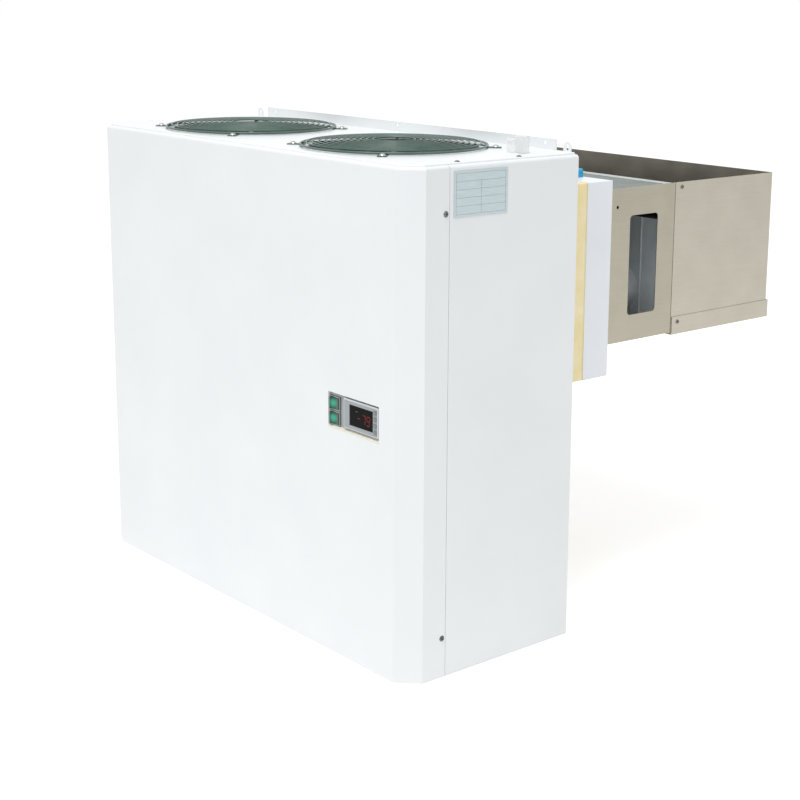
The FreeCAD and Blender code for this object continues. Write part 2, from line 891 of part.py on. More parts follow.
def capsule(radius, height, dome, low):
    body = rod(radius, height, V(comp_x, comp_y, low))
    return round_off(body, dome, lambda c, e: e.Closed and not near(e.Length, height))


def compressor_shell():
    """Welded steel pot on its foot plate."""
    pot = capsule(comp_r, comp_h, comp_dome, comp_low)
    pot = pot.cut(capsule(comp_r - comp_wall, comp_h - 2 * comp_wall, comp_dome - comp_wall,
                          comp_low + comp_wall))
    plate = block(comp_x - comp_plate_w / 2, comp_x + comp_plate_w / 2, comp_y - comp_plate_d / 2,
                  comp_y + comp_plate_d / 2, comp_low - comp_plate_t, comp_low, 8.0, V(0, 0, 1))
    shell = pot.fuse(plate).removeSplitter()
    bores = [rod(foot_hole_r, 20, V(x, y, comp_low - 10)) for x, y in comp_feet()]
    return shell.cut(Part.makeCompound(bores))


def compressor_core():
    """Motor and pump block inside the pot, on three short springs shown as plain posts."""
    low = comp_low + comp_wall
    pieces = [rod(core_r, core_h, V(comp_x, comp_y, low + core_lift))]
    for i in range(3):
        angle = math.radians(90 + 120 * i)
        at = V(comp_x + core_spring_ring * math.cos(angle),
               comp_y + core_spring_ring * math.sin(angle), low)
        pieces.append(rod(core_spring_r, core_lift, at))
    return pieces


def compressor_mounts():
    return [ring(foot_r, foot_hole_r, foot_h, V(x, y, pan_top)) for x, y in comp_feet()]


def terminal_cover():
    z = comp_low + term_lift
    lid = block(comp_x - term_w / 2, comp_x + term_w / 2, comp_y - comp_r - term_d, comp_y,
                z, z + term_h, 4.0, V(0, 1, 0))
    return lid.cut(rod(comp_r + lap_gap, term_h + 2, V(comp_x, comp_y, z - 1)))


def receiver():
    tank = rod(recv_r, recv_h, V(recv_x, mid_y, pan_top))
    return round_off(tank, recv_cap, lambda c, e: e.Closed)


def refrigerant_pipes():
    """Hot gas, condensate, liquid and suction lines, and the filter drier in the liquid line."""
    hot_y, hot_z = cond_spots()[0]
    out_y, out_z = cond_spots()[-1]
    in_y, in_z = evap_spots()[0]
    back_y, back_z = evap_spots()[-1]
    up_z = comp_low + hot_stub_up
    left = comp_x - comp_r - lap_gap
    out_x = cond_end + hot_line_out
    lines = [pipe([(left, comp_y, up_z), (-out_x, comp_y, up_z), (-out_x, hot_y, up_z),
                   (-out_x, hot_y, hot_z), (-cond_end, hot_y, hot_z)], hot_r, 14)]
    recv_top = pan_top + recv_h
    lines.append(pipe([(cond_end, out_y, out_z), (out_x, out_y, out_z),
                       (out_x, out_y, recv_top + recv_pipe_up),
                       (recv_x, mid_y, recv_top + recv_pipe_up),
                       (recv_x, mid_y, recv_top)], hot_r, 14))
    right = drier_x + drier_len / 2
    lines.append(rod(liquid_r, recv_x - recv_r - lap_gap - right, V(right, mid_y, liquid_z),
                     V(1, 0, 0)))
    cap = 5.0
    lines.append(round_off(rod(drier_r, drier_len, V(right - drier_len, mid_y, liquid_z),
                               V(1, 0, 0)), cap, lambda c, e: e.Closed))
    turn_y = in_y - suction_under
    end = -evap_coil_end
    lines.append(pipe([(right - drier_len, mid_y, liquid_z), (liquid_x, mid_y, liquid_z),
                       (liquid_x, mid_y, in_z), (liquid_x, turn_y, in_z),
                       (end - 12, turn_y, in_z), (end - 12, in_y, in_z), (end, in_y, in_z)],
                      liquid_r, 6))
    low_z = back_z - suction_under
    far_y = turn_y - liquid_r - suction_r - 4
    lines.append(pipe([(end, back_y, back_z), (end - 14, back_y, back_z),
                       (end - 14, back_y, low_z), (end - 14, far_y, low_z),
                       (suction_x, far_y, low_z), (suction_x, comp_y, low_z),
                       (suction_x, comp_y, comp_low + suction_stub_up),
                       (comp_x + comp_r + lap_gap, comp_y, comp_low + suction_stub_up)],
                      suction_r, 8))
    return lines


def pipe_bores(y0, y1):
    """Round holes for the two lines through whatever lies between two planes."""
    _, in_z = evap_spots()[0]
    _, back_z = evap_spots()[-1]
    return [rod(liquid_r + pipe_gap, y1 - y0, V(liquid_x, y0, in_z), V(0, 1, 0)),
            rod(suction_r + pipe_gap, y1 - y0, V(suction_x, y0, back_z - suction_under),
                V(0, 1, 0))]


# Electrical box


def electrical_box():
    x0, x1 = elec_x - elec_w / 2, elec_x + elec_w / 2
    z0, z1 = elec_low_z, elec_low_z + elec_h
    w = elec_wall
    case = box(x0, x1, rear_inner - elec_d, rear_inner, z0, z1)
    return case.cut(box(x0 + w, x1 - w, rear_inner - elec_d - 1, rear_inner - w, z0 + w, z1 - w))


def electrical_lid():
    y = rear_inner - elec_d
    return box(elec_x - elec_w / 2, elec_x + elec_w / 2, y - elec_lid_t, y, elec_low_z,
               elec_low_z + elec_h)


def electrical_parts():
    back = rear_inner - elec_wall
    edge = elec_wall + elec_part_edge
    low = elec_low_z + edge
    strip = box(elec_x - strip_w / 2, elec_x + strip_w / 2, back - strip_d, back, low,
                low + strip_h)
    slots = []
    for i in range(12):
        x = elec_x + (i - 5.5) * strip_w / 12
        slots.append(box(x - 3, x + 3, back - strip_d - 1, back - strip_d + 8, low + 5,
                         low + strip_h - 5))
    top = elec_low_z + elec_h - edge
    x = elec_x - elec_w / 2 + edge
    contactor = box(x, x + contactor_w, back - contactor_d, back, top - contactor_h, top)
    return [strip.cut(Part.makeCompound(slots)), contactor]


# Control panel


def panel_left():
    return panel_x - panel_w / 2


def ctrl_x():
    return panel_x + panel_w / 2 - ctrl_edge - ctrl_w / 2


def hous_x():
    return panel_left() + hous_edge


def switch_heights():
    middle = panel_z - hous_drop
    return (middle - hous_pitch / 2, middle + hous_pitch / 2)


def ctrl_block(width, height, d0, d1):
    """A box about the controller's centre, from one depth behind the face to another."""
    x = ctrl_x()
    return box(x - width / 2, x + width / 2, front_y + d0, front_y + d1, panel_z - height / 2,
               panel_z + height / 2)


def panel_frame():
    """The plate behind the cut-out, cut for the controller and the two switches."""
    y = front_y + panel_sink
    plate = panel_cutout(panel_lap, y, y + panel_t)
    cuts = [ctrl_block(ctrl_w + 2 * lap_gap, ctrl_h + 2 * lap_gap, 0, ctrl_back + 1)]
    for z in switch_heights():
        w = hous_w / 2 - hous_step + lap_gap
        h = hous_h / 2 - hous_step + lap_gap
        cuts.append(box(hous_x() - w, hous_x() + w, y - 1, y + panel_t + 1, z - h, z + h))
    return plate.cut(Part.makeCompound(cuts))


def panel_sill():
    """Moulded strip along the lower edge of the cut-out, sloping out at the front."""
    x0, x1 = panel_left() + sill_gap, panel_left() + panel_w - sill_gap
    low = panel_z - panel_h / 2 - sill_h + sill_gap
    y0, y1 = front_y - sill_proud, front_y + panel_sink
    side = [(y0, low), (y1, low), (y1, low + sill_h), (y0, low + sill_h / 2)]
    corners = [V(x0, y, z) for y, z in side]
    face = Part.Face(Part.makePolygon(corners + corners[:1]))
    return face.extrude(V(x1 - x0, 0, 0))


def window_x():
    return ctrl_x() + window_shift


def key_x():
    return ctrl_x() + ctrl_w / 2 - key_edge


def key_heights():
    return [panel_z + ((key_count - 1) / 2 - i) * key_pitch for i in range(key_count)]


def controller_bezel():
    shell = ctrl_block(ctrl_w, ctrl_h, -ctrl_proud, ctrl_back)
    shell = round_off(shell, 1.2, lambda c, e: near(c.y, front_y - ctrl_proud))
    inner = ctrl_block(ctrl_w - 2 * ctrl_wall, ctrl_h - 2 * ctrl_wall, ctrl_wall - ctrl_proud,
                       ctrl_back)
    back = front_y - ctrl_proud + ctrl_wall
    cuts = [inner, box(window_x() - window_w / 2, window_x() + window_w / 2,
                       front_y - ctrl_proud - 1, back, panel_z - window_h / 2,
                       panel_z + window_h / 2)]
    for z in key_heights():
        w = key_w / 2 + key_gap
        h = key_h / 2 + key_gap
        cuts.append(box(key_x() - w, key_x() + w, front_y - ctrl_proud - 1, back, z - h, z + h))
    return shell.cut(Part.makeCompound(cuts))


def display_window():
    y = front_y - ctrl_proud + ctrl_wall
    w = window_w / 2 + pane_edge
    h = window_h / 2 + pane_edge
    return box(window_x() - w, window_x() + w, y, y + pane_t, panel_z - h, panel_z + h)


def controller_body():
    return ctrl_block(ctrl_w, ctrl_h, ctrl_back, ctrl_back + ctrl_depth)


def controller_key(z):
    """A key cap through the bezel, its flange behind, and the stem that works the switch."""
    x = key_x()
    face = front_y - ctrl_proud - key_proud
    flange_y = front_y - ctrl_proud + ctrl_wall + key_back_gap
    stem_end = front_y + ctrl_back - key_travel - key_gap
    cap = block(x - key_w / 2, x + key_w / 2, face, flange_y, z - key_h / 2, z + key_h / 2, 1.0,
                V(0, 1, 0))
    w = key_w / 2 + key_flange
    h = key_h / 2 + key_flange
    flange = box(x - w, x + w, flange_y, flange_y + key_flange_t, z - h, z + h)
    stem_y = flange_y + key_flange_t
    stem = rod(key_stem_r, stem_end - stem_y, V(x, stem_y, z), V(0, 1, 0))
    return fuse([cap, flange, stem])


def rocker_pivot_y():
    return front_y + panel_sink - hous_rim_t + rock_pivot


def switch_housing(z):
    """A frame on the panel with a pocket for the rocker and a hole each end for its pivot."""
    x = hous_x()
    rim_y = front_y + panel_sink
    rim = block(x - hous_w / 2, x + hous_w / 2, rim_y - hous_rim_t, rim_y, z - hous_h / 2,
                z + hous_h / 2, 1.5, V(0, 1, 0))
    w = hous_w / 2 - hous_step
    h = hous_h / 2 - hous_step
    body = box(x - w, x + w, rim_y, rim_y + hous_depth, z - h, z + h)
    pocket = rock_r + rock_gap
    top = rock_h / 2 + rock_gap
    hollow = box(x - pocket, x + pocket, rim_y - hous_rim_t - 1, rocker_pivot_y() + rock_cavity,
                 z - top, z + top)
    bore = rod(rock_pin_r + shaft_gap, 2 * (top + rock_pin_len),
               V(x, rocker_pivot_y(), z - top - rock_pin_len))
    return rim.fuse(body).cut(Part.makeCompound([hollow, bore])).removeSplitter()


def rocker(z, tilt):
    """A rocker with a shallow V face and ends that are arcs about its pivot."""
    x, y = hous_x(), rocker_pivot_y()
    low = z - rock_h / 2
    drum = rod(rock_r, rock_h, V(x, y, low))
    middle = y - rock_rise + rock_end
    outline = [(x - rock_r, y + rock_back), (x + rock_r, y + rock_back),
               (x + rock_r, y - rock_rise - rock_end), (x, middle),
               (x - rock_r, y - rock_rise - rock_end)]
    body = drum.common(prism(outline, low, low + rock_h))
    reach = rock_h / 2 + rock_gap + rock_pin_len - lap_gap
    body = fuse([body, rod(rock_pin_r, 2 * reach, V(x, y, z - reach))])
    body.rotate(V(x, y, z), V(0, 0, 1), tilt)
    return body


# Fittings on the outside


def data_plate():
    y = front_y + plate_back
    z = shell_h - plate_top
    return block(half_w, half_w + plate_t, y, y + plate_w, z - plate_h, z, 2.0, V(1, 0, 0))


def outlet_box():
    """A clear moulded box with the cable's way out in its rear wall, and the box's cover."""
    x0, x1 = outlet_x - outlet_w / 2, outlet_x + outlet_w / 2
    y0, y1 = outlet_y - outlet_d / 2, outlet_y + outlet_d / 2
    w = outlet_wall
    top = cab_h + outlet_h
    shell = block(x0, x1, y0, y1, cab_h, top - w, outlet_round, V(0, 0, 1))
    cover = block(x0, x1, y0, y1, top - w, top, outlet_round, V(0, 0, 1))
    cover = round_off(cover, w - 0.3, lambda c, e: near(c.z, top))
    hollow = box(x0 + w, x1 - w, y0 + w, y1 - w, cab_h - 1, top)
    way_out = rod(cable_hole_r, 2 * w, V(outlet_x, y1 - 1.5 * w, cab_h + cable_rise), V(0, 1, 0))
    return [shell.cut(hollow).cut(way_out), cover]


def outlet_connector():
    x1 = outlet_x - outlet_w / 2
    x0 = x1 - conn_w
    y0, y1 = outlet_y - conn_d / 2, outlet_y + conn_d / 2
    body = block(x0, x1, y0, y1, cab_h, cab_h + conn_h, 2.0, V(1, 0, 0))
    ribs = []
    for i in range(conn_ribs):
        x = x0 + (i + 1) * conn_w / (conn_ribs + 1)
        ribs.append(box(x - 1, x + 1, y0 - conn_rib, y1 + conn_rib, cab_h, cab_h + conn_h - 4))
    return fuse([body] + ribs)


def cable_boot():
    z = plug_low_z + plug_h
    boot = box(boot_x - boot_w / 2, boot_x + boot_w / 2, boot_y, boot_y + boot_len, z, z + boot_h)
    return round_off(boot, 4.0, lambda c, e: near(c.z, z + boot_h) and along(e, V(0, 1, 0)))


# Insulated plug


def rod_spots():
    x = plug_w / 2 - rod_inset_x
    z0 = plug_low_z + rod_inset_z
    z1 = plug_low_z + plug_h - rod_inset_z
    return [(i * x, z) for i in (-1, 1) for z in (z0, z1)]


def plug_bores(y0, y1):
    bores = [rod(rod_r + pipe_gap / 2, y1 - y0, V(x, y0, z), V(0, 1, 0)) for x, z in rod_spots()]
    return Part.makeCompound(bores + pipe_bores(y0, y1))


def plug_foam():
    half = plug_w / 2
    low, high = plug_low_z, plug_low_z + plug_h
    c = clad_sheet
    bare = box(-half, half, rear_inner, foam_bare, low, high)
    clad = box(-half + c, half - c, rear_inner, plug_len - c, low + c, high - c)
    return bare.fuse(clad).removeSplitter().cut(plug_bores(rear_inner - 1, plug_len + 1))


def plug_cladding():
    half = plug_w / 2
    low, high = plug_low_z, plug_low_z + plug_h
    c = clad_sheet
    tray = block(-half, half, foam_bare, plug_len, low, high, 0.6, V(0, 1, 0))
    tray = tray.cut(box(-half + c, half - c, foam_bare - 1, plug_len - c, low + c, high - c))
    return tray.cut(plug_bores(foam_bare, plug_len + 1))


def plug_backing():
    lap = plug_gap + backing_lap
    half = plug_w / 2 + lap
    y = rear_inner
    plate = box(-half, half, y - backing_t, y, plug_low_z - lap, plug_low_z + plug_h + lap)
    return plate.cut(plug_bores(y - backing_t - 1, y + 1))


def tie_rods():
    """Threaded rods that clamp the evaporator, the plug and its backing plate, with their nuts."""
    y0 = rear_inner - backing_t
    y1 = plug_len + evap_sheet
    pieces = []
    for x, z in rod_spots():
        shank = rod(rod_r, y1 - y0 + 2 * rod_nut_t, V(x, y0 - rod_nut_t, z), V(0, 1, 0))
        nuts = []
        for y in (y0 - rod_nut_t, y1):
            corners = []
            for i in range(7):
                a = math.radians(60 * i)
                corners.append(V(x + rod_nut_r * math.cos(a), y, z + rod_nut_r * math.sin(a)))
            nuts.append(Part.Face(Part.makePolygon(corners)).extrude(V(0, rod_nut_t, 0)))
        pieces.append(fuse([shank] + nuts))
    return pieces


# Evaporator box


def evap_screw_spots():
    y = seam2_y + evap_screw_back
    return [(side, y, evap_low_z + z) for side in (-1, 1)
            for z in (evap_screw_low, evap_screw_high)]


def evap_screw_bores():
    return Part.makeCompound([rod(shank_r + screw_gap, 8, V(side * (evap_half_w - 5), y, z),
                                  V(side, 0, 0)) for side, y, z in evap_screw_spots()])


def evap_side_wall(side):
    """Side wall of the fan section with its window, and a joggled tab in the coil casing."""
    s = evap_sheet
    x = evap_half_w
    y0, y1 = plug_len, seam2_y
    low, top = evap_low_z, evap_top
    tab = x - s - lap_gap
    wall = fuse([box(side * x, side * (x - s), y0, y1, low, top),
                 box(side * x, side * (tab - s), y1 - s, y1, low, top),
                 box(side * tab, side * (tab - s), y1 - s, y1 + evap_tab, low + s, top - s)])
    w0 = y0 + win_front
    z0 = low + win_low
    window = block(side * (x - 5), side * (x + 1), w0, w0 + win_w, z0, z0 + win_h,
                   win_round, V(1, 0, 0))
    at = V(side * (x - 5), y0 + rivet_hole_back, low + rivet_hole_low)
    return wall.cut(window).cut(rod(rivet_hole_r, 6, at, V(side, 0, 0))).cut(evap_screw_bores())


def evap_fan_casing():
    """Front wall, floor and side walls of the fan section, welded at their edges."""
    s = evap_sheet
    x = evap_inner
    y0, y1 = plug_len, seam2_y - s
    low, top = evap_low_z, evap_top
    front = box(-x, x, y0, y0 + s, low, top).cut(plug_bores(y0 - 1, y0 + 3))
    floor = fuse([box(-x, x, y0 + s, y1, low, low + s),
                  box(-x + 2 * s, x - 2 * s, y1, tray_y - lap_gap, low, low + s)])
    return [front, floor] + pair(evap_side_wall)


def evap_fan_cover():
    """The fan section's lid, its rear edge turned up and folded down to the shroud's seal."""
    s = evap_sheet
    reach = evap_inner - 2 * lap_gap - s
    top = evap_top - cover_drop
    lid = box(-reach, reach, plug_len + s, seam2_y - s - lap_gap, top - s, top)
    fold = seam2_y - 2 * s - lap_gap
    baffle = box(-reach, reach, fold, fold + s, shroud_top + seal_t, top + cover_up)
    return lid.fuse(baffle).removeSplitter()


def shroud_bores():
    bores = []
    for side in (-1, 1):
        at = V(side * evap_fan_x, shroud_y - 2, evap_fan_z)
        bores.append(rod(evap_fan_r + evap_ring_gap, 60, at, V(0, 1, 0)))
    return bores


def evap_shroud():
    """Upright plate across the evaporator with a ring round each fan."""
    s = evap_sheet
    reach = evap_inner - 2 * lap_gap - s
    plate = box(-reach, reach, shroud_y, shroud_y + s, evap_floor, shroud_top)
    outer = evap_fan_r + evap_ring_gap + s
    parts = [plate]
    for side in (-1, 1):
        parts.append(rod(outer, evap_ring_len, V(side * evap_fan_x, shroud_y, evap_fan_z),
                         V(0, 1, 0)))
    body = fuse(parts).cut(Part.makeCompound(shroud_bores()))
    return body.cut(Part.makeCompound(pipe_bores(shroud_y - 1, shroud_y + 3)))


def shroud_seal():
    """Black rubber strip between the shroud's top edge and the lid's fold."""
    reach = evap_inner - 2 * lap_gap - evap_sheet
    y1 = seam2_y - evap_sheet - lap_gap
    return box(-reach, reach, y1 - seal_d, y1, shroud_top, shroud_top + seal_t)


def evap_motor(side):
    """Motor can on a strap between two upright posts that stand against the shroud."""
    x = side * evap_fan_x
    back = shroud_y - post_t
    can = rod(evap_motor_r, evap_motor_len, V(x, back - strap_t - evap_motor_len, evap_fan_z),
              V(0, 1, 0))
    can = round_off(can, 4.0, lambda c, e: near(c.y, back - strap_t - evap_motor_len))
    strap = box(x - post_x - post_w / 2, x + post_x + post_w / 2, back - strap_t, back,
                evap_fan_z - strap_h / 2, evap_fan_z + strap_h / 2)
    parts = [can, strap]
    for i in (-1, 1):
        px = x + i * post_x
        parts.append(box(px - post_w / 2, px + post_w / 2, back, shroud_y, evap_floor,
                         shroud_top))
    length = post_t + evap_sheet + evap_blade_gap + evap_hub_len + 2
    parts.append(rod(evap_shaft_r, length, V(x, back, evap_fan_z), V(0, 1, 0)))
    return fuse(parts)


def junction_box():
    """Round box on the shroud for the fans' and heater's wires, and its upright conduit."""
    x, z = evap_half_w - junction_side, evap_low_z + junction_up
    can = rod(junction_r, junction_d, V(x, shroud_y - junction_d, z), V(0, 1, 0))
    can = round_off(can, 3.0, lambda c, e: near(c.y, shroud_y - junction_d))
    pipe_x = evap_half_w - conduit_side
    conduit = rod(conduit_r, shroud_top - evap_floor, V(pipe_x, shroud_y - conduit_r, evap_floor))
    return [can, conduit]


def evap_impeller(side):
    wheel = impeller(evap_fan_r, evap_hub_r, evap_hub_len, evap_hub_len, evap_blades,
                     evap_blade_t, evap_blade_pitch, evap_shaft_r)
    wheel.rotate(V(0, 0, 0), V(1, 0, 0), -90)
    wheel.translate(V(side * evap_fan_x, shroud_y + evap_sheet + evap_blade_gap, evap_fan_z))
    return wheel


def coil_casing():
    """Side walls and end wall round the coil; the top is open."""
    s = evap_sheet
    x = evap_half_w
    y0, y1 = seam2_y + seam_gap, evap_end_y
    outer = block(-x, x, y0 - 10, y1, evap_low_z, evap_top, 2.0, V(0, 0, 1))
    outer = outer.cut(box(-x - 1, x + 1, y0 - 20, y0, evap_low_z - 1, evap_top + 1))
    inner = box(-x + s, x - s, y0 - 20, y1 - s, evap_low_z - 1, evap_top + 1)
    return outer.cut(inner).cut(evap_screw_bores())


def drain_tray():
    """Shallow tray outside the casing's lower edge, with its drain stub and a low front lip."""
    s = evap_sheet
    x = evap_half_w + lap_gap + s
    y1 = evap_end_y + tray_over
    z0, z1 = tray_z, tray_z + tray_h
    outer = box(-x, x, tray_y, y1, z0, z1)
    inner = box(-x + s, x - s, tray_y + s, y1 - s, z0 + s, z1 + 1)
    lip = box(-x - 1, x + 1, tray_y - 1, tray_y + s, z0 + tray_lip, z1 + 1)
    tray = outer.cut(inner).cut(lip)
    stub = rod(drain_r, drain_len, V(0, drain_y, z0 + s - drain_len))
    bore = rod(drain_r - drain_wall, drain_len + 2, V(0, drain_y, z0 - drain_len))
    return tray.fuse(stub).removeSplitter().cut(bore).cut(evap_screw_bores())


def defrost_heater():
    """Straight heater rods under the fin pack, resting in the end plates."""
    z = coil_z - heater_drop
    rods = []
    for i in range(heater_count):
        y = coil_y + evap_coil_d * (i + 0.5) / heater_count
        reach = evap_half + fin_t / 2
        rods.append(rod(heater_r, 2 * reach, V(-reach, y, z), V(1, 0, 0)))
    return rods


def evap_screws():
    """The lower screws go through the tray's sides too, so their heads sit further out."""
    screws = []
    for side, y, z in evap_screw_spots():
        out = lap_gap + evap_sheet if z < tray_z + tray_h else 0
        at = V(side * (evap_half_w + out), y, z)
        screws.append(screw(at, V(side, 0, 0), evap_head_r, head_h, shank_len))
    return screws


# The whole unit, one file per sub-part

save("front_cover", [front_cover()])
save("side_panel_left", [side_panel(-1)])
save("side_panel_right", [side_panel(1)])
save("rear_panel", [rear_panel()])
save("base_pan", [base_pan()])
save("top_panel", [top_panel()])
save("cabinet_screws", cabinet_screws())
for name, (fan_x, fan_y) in zip(("left", "right"), fan_centres()):
    save("fan_guard_" + name, guard(fan_x, fan_y))
    save("fan_impeller_" + name, [condenser_impeller(fan_x, fan_y)])
save("fan_motors", [condenser_motor(x, y) for x, y in fan_centres()])
save("bell_mouths", [bell_mouth(x, y) for x, y in fan_centres()])
save("fan_plenum", [plenum()])
save("condenser_fins", condenser_fins())
save("condenser_tubes", coil_tubes(cond_spots(), cond_end))
save("condenser_frame", condenser_frame())
save("compressor_shell", [compressor_shell()])
save("compressor_core", compressor_core())
save("compressor_mounts", compressor_mounts())
save("terminal_cover", [terminal_cover()])
save("receiver", [receiver()])
save("refrigerant_pipes", refrigerant_pipes())
save("electrical_box", [electrical_box()])
save("electrical_lid", [electrical_lid()])
save("electrical_parts", electrical_parts())
save("panel_frame", [panel_frame()])
save("panel_sill", [panel_sill()])
save("controller_bezel", [controller_bezel()])
save("controller_body", [controller_body()])
save("display_window", [display_window()])
for number, key_z in enumerate(key_heights(), 1):
    save("controller_key_%d" % number, [controller_key(key_z)])
low_z, high_z = switch_heights()
save("switch_housings", [switch_housing(low_z), switch_housing(high_z)])
save("rocker_lower", [rocker(low_z, rock_swing)])
save("rocker_upper", [rocker(high_z, rock_swing)])
save("data_plate", [data_plate()])
save("outlet_box", outlet_box())
save("outlet_connector", [outlet_connector()])
save("cable_boot", [cable_boot()])
save("plug_foam", [plug_foam()])
save("plug_cladding", [plug_cladding()])
save("plug_backing", [plug_backing()])
save("tie_rods", tie_rods())
save("evap_fan_casing", evap_fan_casing())
save("evap_fan_cover", [evap_fan_cover()])
save("evap_shroud", [evap_shroud()])
save("shroud_seal", [shroud_seal()])
for name, side in (("left", -1), ("right", 1)):
    save("evap_impeller_" + name, [evap_impeller(side)])
save("evap_motors", pair(evap_motor) + junction_box())
save("evap_fins", evaporator_fins())
save("evap_tubes", coil_tubes(evap_spots(), evap_coil_end))
save("evap_end_plates", evaporator_end_plates())
save("coil_casing", [coil_casing()])
save("drain_tray", [drain_tray()])
save("defrost_heater", defrost_heater())
save("evap_screws", evap_screws())
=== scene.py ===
"""The look of a through-wall refrigeration unit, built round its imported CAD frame, in metres.

A white sheet-metal cabinet with two fans under wire guards, an insulated wall plug, and a
stainless evaporator box behind it.
"""

import math

import bpy
import numpy as np
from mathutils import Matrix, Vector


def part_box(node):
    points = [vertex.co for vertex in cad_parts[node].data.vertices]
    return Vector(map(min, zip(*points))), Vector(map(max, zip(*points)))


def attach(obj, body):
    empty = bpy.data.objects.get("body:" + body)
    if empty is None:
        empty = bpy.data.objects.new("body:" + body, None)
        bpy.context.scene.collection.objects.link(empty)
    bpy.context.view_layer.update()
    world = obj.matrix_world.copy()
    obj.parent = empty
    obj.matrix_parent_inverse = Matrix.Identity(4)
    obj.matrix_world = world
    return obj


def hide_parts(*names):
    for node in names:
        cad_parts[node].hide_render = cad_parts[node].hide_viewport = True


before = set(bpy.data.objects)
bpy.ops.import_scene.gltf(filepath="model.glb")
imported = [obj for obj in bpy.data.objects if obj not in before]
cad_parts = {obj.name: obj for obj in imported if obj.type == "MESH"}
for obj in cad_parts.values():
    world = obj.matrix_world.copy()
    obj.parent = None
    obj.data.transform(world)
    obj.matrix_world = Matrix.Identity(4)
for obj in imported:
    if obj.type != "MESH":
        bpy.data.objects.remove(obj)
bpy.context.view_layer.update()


# Cabinet panels. Mild steel sheet, folded, then powder coated white in one batch. The front cover
# has 45 degree corners and wraps round the sides, and the top lies on the folded lips.

def linear(hex_colour):
    """sRGB hex to linear light: the low part of the curve is c / 12.92, the rest a power."""
    values = [int(hex_colour[i:i + 2], 16) / 255 for i in (1, 3, 5)]
    return [v / 12.92 if v <= 0.04045 else ((v + 0.055) / 1.055) ** 2.4 for v in values] + [1.0]


def add(tree, kind, links=None, **settings):
    """Adds a node; settings name its properties or its inputs, and links feed its inputs."""
    new = tree.nodes.new(kind)
    for name, value in settings.items():
        if hasattr(new, name):
            setattr(new, name, value)
        else:
            new.inputs[name.replace("_", " ")].default_value = value
    for name, source in (links or {}).items():
        tree.links.new(source, new.inputs[name])
    return new


def finish_of(name, colour, rough, metal=0.0, ior=1.5, coat=0.0, coat_rough=0.1):
    """A new material and its tree, shader and object coordinates."""
    made = bpy.data.materials.new(name)
    made.use_nodes = True
    tree = made.node_tree
    shader = tree.nodes["Principled BSDF"]
    shader.inputs["Base Color"].default_value = linear(colour)
    shader.inputs["Roughness"].default_value = rough
    shader.inputs["Metallic"].default_value = metal
    shader.inputs["IOR"].default_value = ior
    shader.inputs["Coat Weight"].default_value = coat
    shader.inputs["Coat Roughness"].default_value = coat_rough
    made.diffuse_color = linear(colour)
    place = add(tree, "ShaderNodeTexCoord").outputs["Object"]
    return made, tree, shader, place


def patches(tree, place, size_mm, low, high, detail=3.0, stretch=(1, 1, 1)):
    """Soft noise whose patches are size_mm across, mapped to run from low to high."""
    turned = add(tree, "ShaderNodeMapping", {"Vector": place}, Scale=stretch)
    noise = add(tree, "ShaderNodeTexNoise", {"Vector": turned.outputs["Vector"]},
                Scale=1000.0 / size_mm, Detail=detail)
    spread = add(tree, "ShaderNodeMapRange", {"Value": noise.outputs["Fac"]})
    spread.inputs["From Min"].default_value = 0.3
    spread.inputs["From Max"].default_value = 0.7
    spread.inputs["To Min"].default_value = low
    spread.inputs["To Max"].default_value = high
    return spread.outputs["Result"]


def tint(tree, shader, amount, dark, light):
    """Base colour that goes from dark to light with an amount from 0 to 1."""
    ramp = add(tree, "ShaderNodeValToRGB", {"Fac": amount})
    ramp.color_ramp.elements[0].color = linear(dark)
    ramp.color_ramp.elements[1].color = linear(light)
    tree.links.new(ramp.outputs["Color"], shader.inputs["Base Color"])
    return ramp


def relief(tree, shader, height, depth_mm, strength=1.0):
    """Bump of a real depth from a height that runs from 0 to 1."""
    bump = add(tree, "ShaderNodeBump", {"Height": height}, Strength=strength,
               Distance=depth_mm / 1000.0)
    tree.links.new(bump.outputs["Normal"], shader.inputs["Normal"])
    return bump


def dress(material, *nodes):
    """Gives CAD nodes this material in every slot."""
    for node in nodes:
        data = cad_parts[node].data
        for i in range(len(data.materials)):
            data.materials[i] = material


# Polyester powder coat, baked: a satin white skin with the fine swell called orange peel, 3 mm
# from crest to crest, and a tone that drifts by a hair across a large panel.
powder, tree, shader, place = finish_of("powder_coat_white", "#EDF0F2", 0.34, coat=0.15,
                                        coat_rough=0.2)
tint(tree, shader, patches(tree, place, 160.0, 0.0, 1.0), "#ECEFF1", "#F0F3F4")
tree.links.new(patches(tree, place, 60.0, 0.33, 0.38), shader.inputs["Roughness"])
relief(tree, shader, patches(tree, place, 3.0, 0.0, 1.0), 0.012)
dress(powder, "front_cover", "side_panel_left", "side_panel_right", "top_panel", "rear_panel")

# Hot-dip galvanised sheet: dull zinc with crystals (spangle) about 12 mm across, each a shade of
# its own, on the base pan, air duct, coil rails and the plate behind the plug.
zinc, tree, shader, place = finish_of("galvanised_sheet", "#B9BDBF", 0.42, metal=1.0)
spangle = add(tree, "ShaderNodeTexVoronoi", {"Vector": place}, Scale=1000.0 / 12.0)
tint(tree, shader, add(tree, "ShaderNodeSeparateColor",
                       {"Color": spangle.outputs["Color"]}).outputs["Red"], "#A7ACAE", "#C6CACB")
tree.links.new(add(tree, "ShaderNodeMapRange", {"Value": spangle.outputs["Distance"]},
                   To_Min=0.36, To_Max=0.5).outputs["Result"], shader.inputs["Roughness"])
dress(zinc, "base_pan", "fan_plenum", "bell_mouths", "condenser_frame", "plug_backing")


# Wire guards. Mild steel wire rings welded on crossed ribs, with four flat lugs, dipped dark
# green-grey. Each guard is screwed down over its fan by the lugs.

